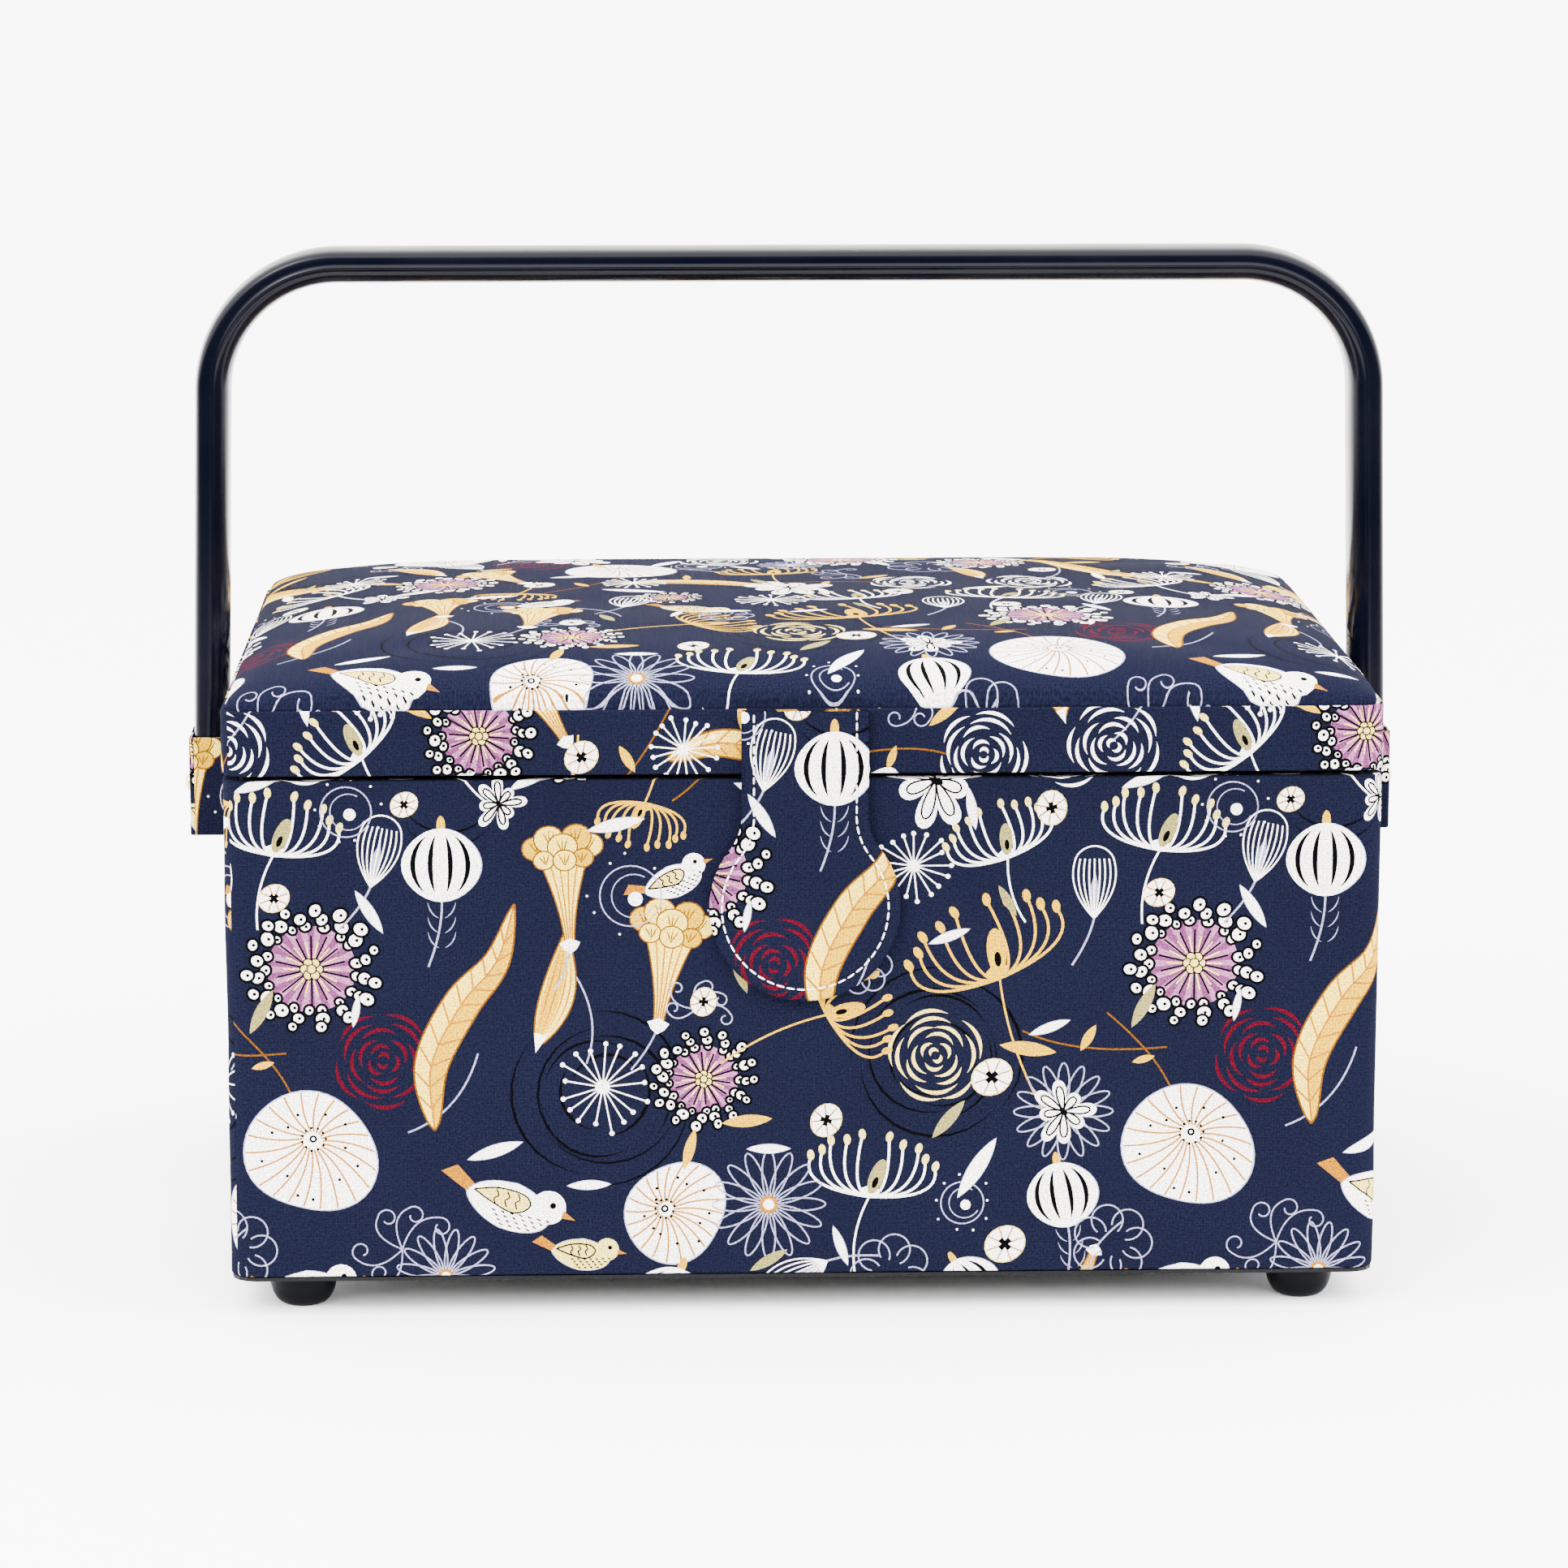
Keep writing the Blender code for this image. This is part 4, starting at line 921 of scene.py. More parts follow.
def grained_vinyl():
    """Black vinyl sheet with a pebbled leather grain."""
    s = Shader("grained_vinyl")
    cells = s.node("ShaderNodeTexVoronoi", {"Vector": s.place(), "Scale": 900.0}, feature="DISTANCE_TO_EDGE")
    pebble = s.ramp(cells.outputs[0], 0.0, 0.25, 0.0, 1.0)
    cloud = s.noise(s.place(), 40.0)
    s.set(Base_Color=s.between(cloud, 0.3, 0.7, (0.0012, 0.0013, 0.002), (0.003, 0.0032, 0.0045)),
          Roughness=s.ramp(pebble, 0.0, 1.0, 0.62, 0.42), Specular_IOR_Level=0.1,
          Normal=s.bump(pebble, 0.00012, 0.7))
    return s.material


def grey_board():
    """Pressed grey board: flecks of pulp and a fibrous surface."""
    s = Shader("grey_board")
    flecks = s.noise(s.place(), 700.0, 5.0, 0.7)
    fibre = s.noise(s.stretched((1, 4, 4)), 160.0, 4.0, 0.6)
    s.set(Base_Color=s.between(flecks, 0.4, 0.68, (0.42, 0.38, 0.32), (0.26, 0.23, 0.19), 0.6),
          Roughness=s.ramp(fibre, 0.3, 0.7, 0.82, 0.97), Normal=s.bump(fibre, 0.0001, 0.5))
    return s.material


def open_foam():
    """Upholstery foam: open cells, a little yellowed."""
    s = Shader("open_foam")
    cell = s.node("ShaderNodeTexVoronoi", {"Vector": s.place(), "Scale": 1500.0}).outputs[0]
    age = s.noise(s.place(), 20.0)
    s.set(Base_Color=s.between(age, 0.3, 0.7, (0.85, 0.83, 0.76), (0.80, 0.74, 0.56)),
          Roughness=s.ramp(cell, 0.0, 0.6, 0.98, 0.85), Normal=s.bump(cell, 0.0002, 0.8))
    return s.material


def sewing_thread():
    """Twisted white thread: slanting plies, painted greyer in the grooves between them as painted shade, with
    a soft shine.
    """
    s = Shader("sewing_thread")
    here = s.node("ShaderNodeMapping", {"Vector": s.place(), "Rotation": (0.0, 0.7, 0.0)}).outputs[0]
    ply = s.wave(here, 900.0, "X", 1.0)
    # Painted shade: the colour goes grey where the plies dip, white on their crowns.
    s.set(Base_Color=s.mix(ply, colour((0.68, 0.66, 0.64)), colour((0.90, 0.89, 0.86))),
          Roughness=s.ramp(ply, 0, 1, 0.7, 0.5), Sheen_Weight=0.2, Normal=s.bump(ply, 0.00008, 0.6))
    return s.material


COTTON = printed_cotton()
PLAIN_NAVY = woven("plain_navy_cotton", NAVY, 0.00045, sheen=0.002, shine=0.008)
LINING = woven("cream_lining", (0.40, 0.35, 0.26), 0.0005)
ELASTIC = woven("ribbed_elastic", (0.86, 0.84, 0.80), 0.0009, 0.0002)
CUSHION_CLOTH = woven("red_velveteen", (0.085, 0.006, 0.011), 0.0004, sheen=0.15)
BAR_PLASTIC = moulded("glossy_navy_plastic", (0.0006, 0.0009, 0.0030), 0.20, 1400.0, 0.00001, shine=0.10)
FOOT_PLASTIC = moulded("satin_foot_plastic", (0.0010, 0.0012, 0.0018), 0.42, 1800.0, 0.00003, shine=0.04)
TRAY_PLASTIC = moulded("tray_plastic", (0.36, 0.37, 0.36), 0.30, 1200.0, 0.00001)
BRASS = metal("aged_brass", (0.78, 0.56, 0.25), 0.24, 1.0)
STEEL = metal("turned_steel", (0.60, 0.60, 0.62), 0.30, 2.0)
NICKEL = metal("magnet_nickel", (0.66, 0.66, 0.68), 0.18, 1.0)
VINYL = grained_vinyl()
BOARD = grey_board()
FOAM = open_foam()
THREAD = sewing_thread()


# ---- the body and the lid's band -----------------------------------------------------
BODY_HALF = ((WRAP_HIGH[0] - WRAP_LOW[0]) / 2, (WRAP_HIGH[1] - WRAP_LOW[1]) / 2)
BAND_HALF = ((BAND_HIGH[0] - BAND_LOW[0]) / 2, (BAND_HIGH[1] - BAND_LOW[1]) / 2)
make_walls_cloth("body_cloth", BODY_HALF, CORNER_R, WRAP_LOW[2], WRAP_HIGH[2], "cover_wrap", "box",
                 (7.0, -11.0), 0.0005, (0.0006, 0.0035), COTTON)
make_walls_cloth("band_cloth", BAND_HALF, CORNER_R, BAND_LOW[2], BAND_HIGH[2], "lid_band_cover", "lid",
                 (30.0, -8.0), 0.0006, (0.0030, 0.0004), COTTON)


# ---- the padded lid top ---------------------------------------------------------------
CROWN_HALF = ((CROWN_HIGH[0] - CROWN_LOW[0]) / 2, (CROWN_HIGH[1] - CROWN_LOW[1]) / 2)
CROWN_R = 0.0059
SKIRT = 0.0009
RISE = 0.014
BULGE, SOFTNESS = 8.0, 0.5
SLACK = 0.86       # the sheet starts this share of the way up
FOLD_OVER = 0.0012  # how far in the crown is rounded over to its skirt


def crown_height(x, y, rise):
    """rise x ((1 - |x/half width|^8)(1 - |y/half depth|^8))^0.5."""
    u = np.clip(np.abs(x) / CROWN_HALF[0], 0, 1)
    v = np.clip(np.abs(y) / CROWN_HALF[1], 0, 1)
    return rise * np.maximum((1 - u**BULGE) * (1 - v**BULGE), 0) ** SOFTNESS


def swell_crown():
    """Blow the lid's cloth up over its foam with a cloth simulation.

    The sheet starts as a lower crown held at its rim; what comes back is how far each point of
    a regular grid moved, smoothed a little, for the fine printed cloth to follow.
    """
    cols, rows = 65, 47
    x = np.linspace(-CROWN_HALF[0], CROWN_HALF[0], cols)
    y = np.linspace(-CROWN_HALF[1], CROWN_HALF[1], rows)
    grid_x, grid_y = np.meshgrid(x, y)
    height = CROWN_LOW[2] + SKIRT + crown_height(grid_x, grid_y, SLACK * RISE)
    start = np.stack([grid_x, grid_y + MID_Y, height], -1)
    mesh = surface("crown_sheet", start)
    sheet = bpy.data.objects.new("crown_sheet", mesh)
    scene = bpy.context.scene
    scene.collection.objects.link(sheet)
    pins = sheet.vertex_groups.new(name="rim")
    rim = np.zeros((rows, cols), bool)
    rim[[0, -1], :] = rim[:, [0, -1]] = True
    pins.add(np.flatnonzero(rim.ravel()).tolist(), 1.0, "REPLACE")
    cloth = sheet.modifiers.new("cloth", "CLOTH")
    set_up_cloth(cloth.settings, "rim", 4.0)
    end = run_cloth(sheet)
    bpy.data.objects.remove(sheet)
    moved = end.reshape(rows, cols, 3) - start
    for _ in range(2):
        inner = moved[1:-1, 1:-1]
        around = moved[:-2, 1:-1] + moved[2:, 1:-1] + moved[1:-1, :-2] + moved[1:-1, 2:]
        moved[1:-1, 1:-1] = 0.5 * inner + 0.125 * around
    return moved


def set_up_cloth(settings, pin_group, pressure):
    """Stiff cotton over foam: pressure from inside, no gravity."""
    settings.quality = 6
    settings.mass = 0.3
    settings.tension_stiffness = 40
    settings.compression_stiffness = 40
    settings.shear_stiffness = 20
    settings.bending_stiffness = 4
    settings.use_pressure = True
    settings.uniform_pressure_force = pressure
    settings.effector_weights.gravity = 0
    if pin_group:
        settings.vertex_group_mass = pin_group


def run_cloth(piece, frames=20):
    """Step the simulation and return where the points end, as an array."""
    scene = bpy.context.scene
    for number in range(1, frames + 1):
        scene.frame_set(number)
    done = piece.evaluated_get(bpy.context.evaluated_depsgraph_get())
    points = np.zeros(len(done.data.vertices) * 3, np.float32)
    done.data.vertices.foreach_get("co", points)
    scene.frame_set(1)
    return points.reshape(-1, 3).astype(float)


def sample(field, x, y):
    """Read a regular grid of values over the lid between its points, by a cubic rule both ways."""
    rows, cols = field.shape[:2]

    def weights(f):
        return [(-f + 2 * f**2 - f**3) / 2, (2 - 5 * f**2 + 3 * f**3) / 2, (f + 4 * f**2 - 3 * f**3) / 2,
                (f**3 - f**2) / 2]

    gx = np.clip((x / CROWN_HALF[0] + 1) / 2 * (cols - 1), 0, cols - 1.0001)
    gy = np.clip((y / CROWN_HALF[1] + 1) / 2 * (rows - 1), 0, rows - 1.0001)
    i, j = gx.astype(int), gy.astype(int)
    out = 0.0
    for a, wa in enumerate(weights(gy - j)):
        for b, wb in enumerate(weights(gx - i)):
            row, col = np.clip(j + a - 1, 0, rows - 1), np.clip(i + b - 1, 0, cols - 1)
            out = out + (wa * wb)[:, None] * field[row, col]
    return out


def rounded_distance(x, y, half_w, half_d, radius):
    """Signed distance to a rectangle with round corners, and the way out of it."""
    qx, qy = np.abs(x) - (half_w - radius), np.abs(y) - (half_d - radius)
    ox, oy = np.maximum(qx, 0), np.maximum(qy, 0)
    far = np.hypot(ox, oy)
    distance = far + np.minimum(np.maximum(qx, qy), 0) - radius
    side_x = np.where(far > 0, ox / np.maximum(far, 1e-12), (qx > qy) * 1.0)
    side_y = np.where(far > 0, oy / np.maximum(far, 1e-12), (qx <= qy) * 1.0)
    return distance, side_x * np.sign(x), side_y * np.sign(y)


def make_lid_top():
    """The printed cloth over the foam: crown, upright skirt, and a tuck down behind the band."""
    moved = swell_crown()
    base = CROWN_LOW[2]
    start_rise = SLACK * RISE
    peak = start_rise + moved[..., 2].max()
    moved[..., 2] *= max(0.0, (RISE - start_rise)) / max(peak - start_rise, 1e-6)

    def place(points):
        x, y = points[:, 0] * MM, points[:, 1] * MM
        distance, out_x, out_y = rounded_distance(x, y, *CROWN_HALF, CROWN_R)
        drop = np.maximum(distance, 0)
        x, y = x - out_x * drop, y - out_y * drop
        shift = sample(moved, x, y)
        edge = np.clip(-distance / FOLD_OVER, 0, 1)
        z = base + SKIRT + crown_height(x, y, start_rise) * edge**0.5 + shift[:, 2] * edge - drop
        return np.column_stack([x + shift[:, 0] * edge, MID_Y + y + shift[:, 1] * edge, z])

    skirt_mm = SKIRT / MM + 0.6
    rings = []
    for inset in (-skirt_mm, -0.3, 0.0, 0.08, 0.25, 0.5, 0.9, 1.4, 2.1, 3.0, 4.2, 5.8, 8.0, 11.0):
        half = np.array(CROWN_HALF) - inset * MM
        radius = max(CROWN_R - inset * MM, 0.0004)
        length = 4 * (half.sum() - 2 * radius) + TAU * radius
        count = 420 if inset < 4 else 240
        path, _ = rounded_path(np.arange(count) * length / count, half[0], half[1], radius)
        rings.append(path / MM)
    inner = np.concatenate(rings[1:])
    mesh = printed_cloth("lid_top_cloth", rings[0], place, (196.0, 128.0), inner, step=5.0)
    top = add_piece("lid_top_cloth", mesh, COTTON, "lid", ("lid_cover",))


make_lid_top()


# ---- the flap ---------------------------------------------------------------------------
FLAP_HALF = 0.0175
FLAP_BULB_R = (FLAP_HIGH[0] - FLAP_LOW[0]) / 2
FLAP_FILLET_R = 0.0151
FLAP_BULB_Z = FLAP_LOW[2] + FLAP_BULB_R


def flap_path(inset, top_inset=0.0, count=60):
    """The flap's outline in millimetres: straight neck, two hollow arcs, round end."""
    neck, bulb_r, fillet_r = FLAP_HALF - inset, FLAP_BULB_R - inset, FLAP_FILLET_R + inset
    fillet_x = neck + fillet_r
    fillet_z = FLAP_BULB_Z + math.sqrt((bulb_r + fillet_r) ** 2 - fillet_x**2)
    meet = math.degrees(math.atan2(fillet_z - FLAP_BULB_Z, fillet_x))
    neck_run = np.stack([np.full(9, neck), np.linspace(FLAP_HIGH[2] - top_inset, fillet_z, 9)], 1)
    right = np.concatenate([neck_run[:-1], arc(fillet_x, fillet_z, fillet_r, 180, 180 + meet, 16)])
    round_end = arc(0, FLAP_BULB_Z, bulb_r, meet, -180 - meet, count)
    left = (right * (-1, 1))[::-1]
    return np.concatenate([right, round_end[1:-1], left]) / MM


def nearest(points, path):
    """Distance from each point to an open path."""
    a, b = path[:-1], path[1:]
    run = b - a
    t = np.clip(((points[:, None] - a) * run).sum(-1) / (run**2).sum(-1), 0, 1)
    foot = a + run * t[..., None]
    return np.linalg.norm(points[:, None] - foot, axis=-1).min(1)


STITCH_INSET = 0.0034
# In millimetres, as the flap's points are: the stitches, the edge's roundness, and how deep the seam,
# the fold at the lid's lower edge and the swell in the middle are.
STITCH_PITCH, STITCH_LENGTH, STITCH_R = 2.9, 2.3, 0.27
EDGE_R = 1.1
PINCH, CREASE, PUFF = 0.34, 0.22, 0.16


def flap_depth(points, edge, seam):
    """How far back from the front the cloth lies: rounded over at the edge, drawn in at the seam."""
    off = nearest(points, edge)
    near_seam = nearest(points, seam)
    roll = EDGE_R - np.sqrt(np.maximum(EDGE_R**2 - np.maximum(EDGE_R - off, 0) ** 2, 0))
    pinch = PINCH * np.exp(-((near_seam / 0.75) ** 2))
    crease = CREASE * np.exp(-(((points[:, 1] - 1000 * (BAND_LOW[2] - 0.0012)) / 1.2) ** 2))
    puff = PUFF * (1 - np.exp(-((off / 5.0) ** 2)))
    return roll + pinch + crease - puff + PUFF


def make_flap():
    """Front and back cloth over the card, and the running stitch round it."""
    edge = flap_path(0.0)
    seam = flap_path(STITCH_INSET)
    front_y = FLAP_LOW[1]
    back_y = FLAP_BACK_Y

    def place_front(points):
        depth = flap_depth(points, edge, seam)
        return np.column_stack([points[:, 0] * MM, front_y + depth * MM, points[:, 1] * MM])

    insets = (0.1, 0.3, 0.6, 0.9, 1.3, 1.9, 2.6, 3.0, 3.4, 3.8, 4.3, 5.2, 6.5)
    rings = np.concatenate([flap_path(k * MM) for k in insets])
    mesh = printed_cloth("flap_front", edge, place_front, (-192.0, -38.0), rings, step=3.0)
    front = add_piece("flap_front", mesh, COTTON, "flap", ("flap_front_cloth",))

    def place_back(points):
        depth = flap_depth(points * (-1, 1), edge, seam)
        return np.column_stack([-points[:, 0] * MM, back_y - (depth - 0.05) * MM, points[:, 1] * MM])

    back_edge = (edge * (-1, 1))[::-1].copy()
    mesh = printed_cloth("flap_back", back_edge, place_back, (40.0, 30.0), rings * (-1, 1), step=3.0)
    add_piece("flap_back", mesh, COTTON, "flap", ("flap_back_cloth",))

    rim_y = np.linspace(front_y + (EDGE_R + 0.15) * MM, back_y - (EDGE_R + 0.05) * MM, 5)
    rim = np.array([[(x * MM, y, z * MM) for y in rim_y] for x, z in edge])
    mesh = surface("flap_edge", rim, closed_u=True)
    flip_if_inward(mesh, np.array([0, (front_y + back_y) / 2, FLAP_BULB_Z]))
    add_piece("flap_edge", mesh, PLAIN_NAVY, "flap")
    make_stitches("flap_stitches", seam, front_y, edge, seam)


def flip_if_inward(mesh, centre):
    """Turn a surface's faces round if they look towards a point inside it."""
    look = sum(p.area * (np.array(p.center) - centre) @ np.array(p.normal) for p in mesh.polygons)
    if look < 0:
        mesh.flip_normals()


def even_points(path, pitch):
    """Points at an even pitch along a path, and the path's direction at each."""
    run = np.linalg.norm(np.diff(path, axis=0), axis=1)
    far = np.concatenate([[0], np.cumsum(run)])
    at = np.arange(pitch / 2, far[-1], pitch)
    spot = np.stack([np.interp(at, far, path[:, k]) for k in range(path.shape[1])], 1)
    ahead = np.stack([np.interp(at + 0.1, far, path[:, k]) for k in range(path.shape[1])], 1)
    back = np.stack([np.interp(at - 0.1, far, path[:, k]) for k in range(path.shape[1])], 1)
    heading = ahead - back
    return spot, heading / np.linalg.norm(heading, axis=1)[:, None]


def capsules(name, spots, headings, length, radius, out):
    """Short round-ended threads: rings of radius r sqrt(1 - t^6) along t from -1 to 1."""
    t = np.array([-1.0, -0.86, -0.45, 0.45, 0.86, 1.0])
    girth = radius * np.sqrt(np.maximum(1 - np.abs(t) ** 6, 0.02))
    a = np.arange(7) * TAU / 7
    side = np.cross(headings, out)
    lift = np.broadcast_to(out, headings.shape)
    arch = 0.35 * radius * (1 - t**2) * 1.6
    rings = (spots[:, None, None] + headings[:, None, None] * (t[:, None] * length / 2)[None, :, :, None]
             + side[:, None, None] * (girth[:, None] * np.cos(a))[None, :, :, None]
             + lift[:, None, None] * (girth[:, None] * np.sin(a) + arch[:, None])[None, :, :, None])
    count = len(spots)
    verts = rings.reshape(-1, 3)
    ring = np.arange(len(t) * len(a)).reshape(len(t), len(a))
    ring = np.concatenate([ring, ring[:, :1]], 1)
    quads = np.stack([ring[:-1, :-1], ring[:-1, 1:], ring[1:, 1:], ring[1:, :-1]], -1).reshape(-1, 4)
    block = len(t) * len(a)
    faces = (quads[None] + (np.arange(count) * block)[:, None, None]).reshape(-1, 4).tolist()
    ends = [ring[0, :-1][::-1], ring[-1, :-1]]
    for k in range(count):
        faces += [(e + k * block).tolist() for e in ends]
    mesh = bpy.data.meshes.new(name)
    mesh.from_pydata(verts, [], faces)
    mesh.shade_smooth()
    return mesh


def make_stitches(name, path, front_y, edge, seam):
    """White running stitches, each lying in the seam's groove."""
    spots, headings = even_points(path, STITCH_PITCH)
    depth = flap_depth(spots, edge, seam)
    at = np.column_stack([spots[:, 0] * MM, front_y + (depth - 0.12) * MM, spots[:, 1] * MM])
    way = np.column_stack([headings[:, 0], np.zeros(len(at)), headings[:, 1]])
    mesh = capsules(name, at, way, STITCH_LENGTH * MM, STITCH_R * MM, np.array([0.0, -1.0, 0.0]))
    add_piece(name, mesh, THREAD, "flap")


make_flap()


# ---- the handle and its sleeves ---------------------------------------------------------
FOOT_X = BAR_HIGH[0]
SHOULDER_X = FOOT_X - 0.0021
BEND_R = 0.042
BAR_T = 0.0104
TANG_T = 0.009
LEAN_Z = 0.150
SLEEVE_END_Z = (0.1462, 0.160)   # the bar thickens from tang to full section between these heights
FACE_HALF = 0.0082
SIDE_HALF = 0.0098
LINE_DEPTH = 0.0056   # the raised line on each side lies this far in from the outer face
END_ROUND = 0.0007   # the last stretch, over which each end of the bar is rounded off
END_SHARE = 0.86


def handle_path():
    """The handle's outer line: legs leaning in, a quarter bend of radius 42 mm each side, the bar."""
    top = BAR_HIGH[2]
    centre_x, centre_z = SHOULDER_X - BEND_R, top - BEND_R
    leg = np.array([(FOOT_X, BAR_LOW[2]), (FOOT_X, 0.1305), (FOOT_X, 0.1405), (FOOT_X - 0.0001, LEAN_Z)])
    rise = np.linspace(0.16, centre_z, 9)
    lean = np.stack([np.interp(rise, (LEAN_Z, centre_z), (FOOT_X, SHOULDER_X)), rise], 1)
    curve = arc(centre_x, centre_z, BEND_R, 2.5, 90, 30)
    bar = np.stack([np.linspace(centre_x, 0, 14)[1:], np.full(13, top)], 1)
    right = np.concatenate([leg, lean, curve, bar])
    left = (right * (-1, 1))[::-1][1:]
    return np.concatenate([right, left])


def bar_section():
    """The bar's section, out from the outer face and across.

    A slightly domed outer face, flat sides with a thin raised line, and a rounded inner side.
    """
    across_half = (BAR_HIGH[1] - BAR_LOW[1]) / 2
    face = np.linspace(-1, 1, 13) * FACE_HALF
    dome = np.stack([-0.0009 * (face / FACE_HALF) ** 2, face], 1)
    corner = np.array([(-0.0012, 0.0089), (-0.0018, 0.0095), (-0.0026, SIDE_HALF)])
    side = np.array([(-0.0040, SIDE_HALF), (-LINE_DEPTH + 0.0005, SIDE_HALF),
                     (-LINE_DEPTH + 0.0003, across_half), (-LINE_DEPTH - 0.0003, across_half),
                     (-LINE_DEPTH - 0.0005, 0.0097)])
    a = np.radians(np.linspace(0, 90, 11))[1:]
    belly = np.stack([-LINE_DEPTH - 0.0005 - (BAR_T - LINE_DEPTH - 0.0005) * np.sin(a) ** 0.8,
                      0.0097 * np.cos(a) ** 0.62], 1)
    half = np.concatenate([corner, side, belly])
    return np.concatenate([dome, half, (half * (1, -1))[::-1][1:]])


def make_handle():
    """The section carried along the path, thinner inside the sleeves, with its ends rounded and closed."""
    path = handle_path()
    step = np.gradient(path, axis=0)
    step /= np.linalg.norm(step, axis=1)[:, None]
    out = np.stack([step[:, 1], -step[:, 0]], 1)
    section = bar_section()
    thickness = np.interp(path[:, 1], SLEEVE_END_Z, (TANG_T / BAR_T, 1.0))
    scale = np.ones(len(path) + 2)
    scale[[0, -1]] = END_SHARE
    stations = [0, *range(len(path)), len(path) - 1]
    spots = path[stations]
    spots[1] += step[0] * END_ROUND
    spots[-2] -= step[-1] * END_ROUND
    middle = np.array([-BAR_T / 2, 0.0])
    cut = (section - middle) * scale[:, None, None] + middle
    xz = spots[:, None] + out[stations][:, None] * (cut[:, :, :1] * thickness[stations][:, None, None])
    grid = np.stack([xz[..., 0], MID_Y + cut[..., 1], xz[..., 1]], -1)
    mesh = surface("handle", grid, closed_v=True, caps=True)
    flip_if_inward(mesh, np.array([0.0, MID_Y, 0.24]))
    add_piece("handle", mesh, BAR_PLASTIC, "handle", ("handle_bar",))


make_handle()


def make_sleeve(label):
    """A tube of printed cloth round the handle's end, its edges turned in at the top and bottom."""
    low, high = span(f"sleeve_{label}")
    half = ((high[0] - low[0]) / 2, (high[1] - low[1]) / 2)
    centre = (low + high) / 2
    radius = 0.0016
    fold = 0.0004

    def place(points):
        s, z = points[:, 0] * MM, points[:, 1] * MM
        xy, out = rounded_path(s, half[0], half[1], radius)
        inset, height = hem(z, low[2] + fold, high[2] - fold, fold)
        puff = 0.00012 * np.sin(s * 260) * np.sin((z - low[2]) * 190)
        xy = xy - out * (inset + 0.0001 - puff)[:, None]
        return np.column_stack([centre[0] + xy[:, 0], centre[1] + xy[:, 1], height])

    length = 4 * (half[0] + half[1] - 2 * radius) + TAU * radius
    bottom = (low[2] + fold - fold * math.pi / 2 - 0.0004) / MM
    top = (high[2] - fold + fold * math.pi / 2 + 0.0004) / MM
    edge = np.array([(0, bottom), (length / MM, bottom), (length / MM, top), (0, top)])
    bend_length = radius * math.pi / 2
    stops = np.cumsum([2 * (half[0] - radius), bend_length, 2 * (half[1] - radius), bend_length] * 2)
    lines = []
    for a, b in zip(stops[:-1:2], stops[1::2]):
        lines += [[(s / MM, bottom), (s / MM, top)] for s in np.linspace(a, b, 6)]
    lines = [pair for pair in lines if 0.01 < pair[0][0] < length / MM - 0.01]
    for k in range(4):
        for at, sign in ((low[2] + fold, -1), (high[2] - fold, 1)):
            z = (at + sign * fold * k * math.pi / 6) / MM
            lines.append([(0, z), (length / MM, z)])
    cut = (18.0, -60.0) if label == "right" else (96.0, -20.0)
    mesh = printed_cloth(f"sleeve_cloth_{label}", edge, place, cut, lines=lines, step=2.5)
    add_piece(f"sleeve_cloth_{label}", mesh, COTTON, "handle", (f"sleeve_{label}",))


for label in ("left", "right"):
    make_sleeve(label)


# ---- feet, hinge and inner pieces --------------------------------------------------------
def turned_surface(name, profile, centre, steps=72):
    """A profile of (radius, height) spun round an upright line through the centre."""
    a = np.arange(steps) * TAU / steps
    r, h = profile[:, 0], profile[:, 1]
    grid = np.stack([r[:, None] * np.cos(a), r[:, None] * np.sin(a), np.repeat(h[:, None], steps, 1)], -1)
    mesh = surface(name, grid + np.asarray(centre), closed_v=True)
    return mesh


FLAT_R = 0.005       # the ring that each foot stands on
SCREW_HOLE_R = 0.0028
SCREW_HOLE_H = 0.0026


def make_feet():
    """Satin domes: a short upright rim, then a quarter of an ellipse down to a flat ring."""
    for end in ("front", "back"):
        for side in ("left", "right"):
            node = f"foot_{end}_{side}"
            low, high = span(node)
            radius, top = (high[0] - low[0]) / 2, high[2]
            a = np.radians(np.linspace(0, 90, 24))
            dome = np.stack([FLAT_R + (radius - FLAT_R) * np.cos(a), (top - 0.0012) * (1 - np.sin(a))], 1)
            rim = np.array([(0.0001, top), (radius - 0.0005, top), (radius - 0.0001, top - 0.0004)])
            recess = np.array([(SCREW_HOLE_R + 0.0004, 0.0), (SCREW_HOLE_R, 0.0004),
                               (SCREW_HOLE_R, SCREW_HOLE_H), (0.0001, SCREW_HOLE_H)])
            profile = np.concatenate([rim, dome, recess])[::-1]
            centre = (*(low[:2] + high[:2]) / 2, 0)
            mesh = turned_surface(node + "_dome", profile, centre)
            add_piece(node + "_dome", mesh, FOOT_PLASTIC, "box", (node,))


make_feet()


BRIDGE = (0.150, 0.155)   # the strip crosses from the body's face to the lid's between these heights
HINGE_T = 0.0005
HINGE_OFF = 0.00055


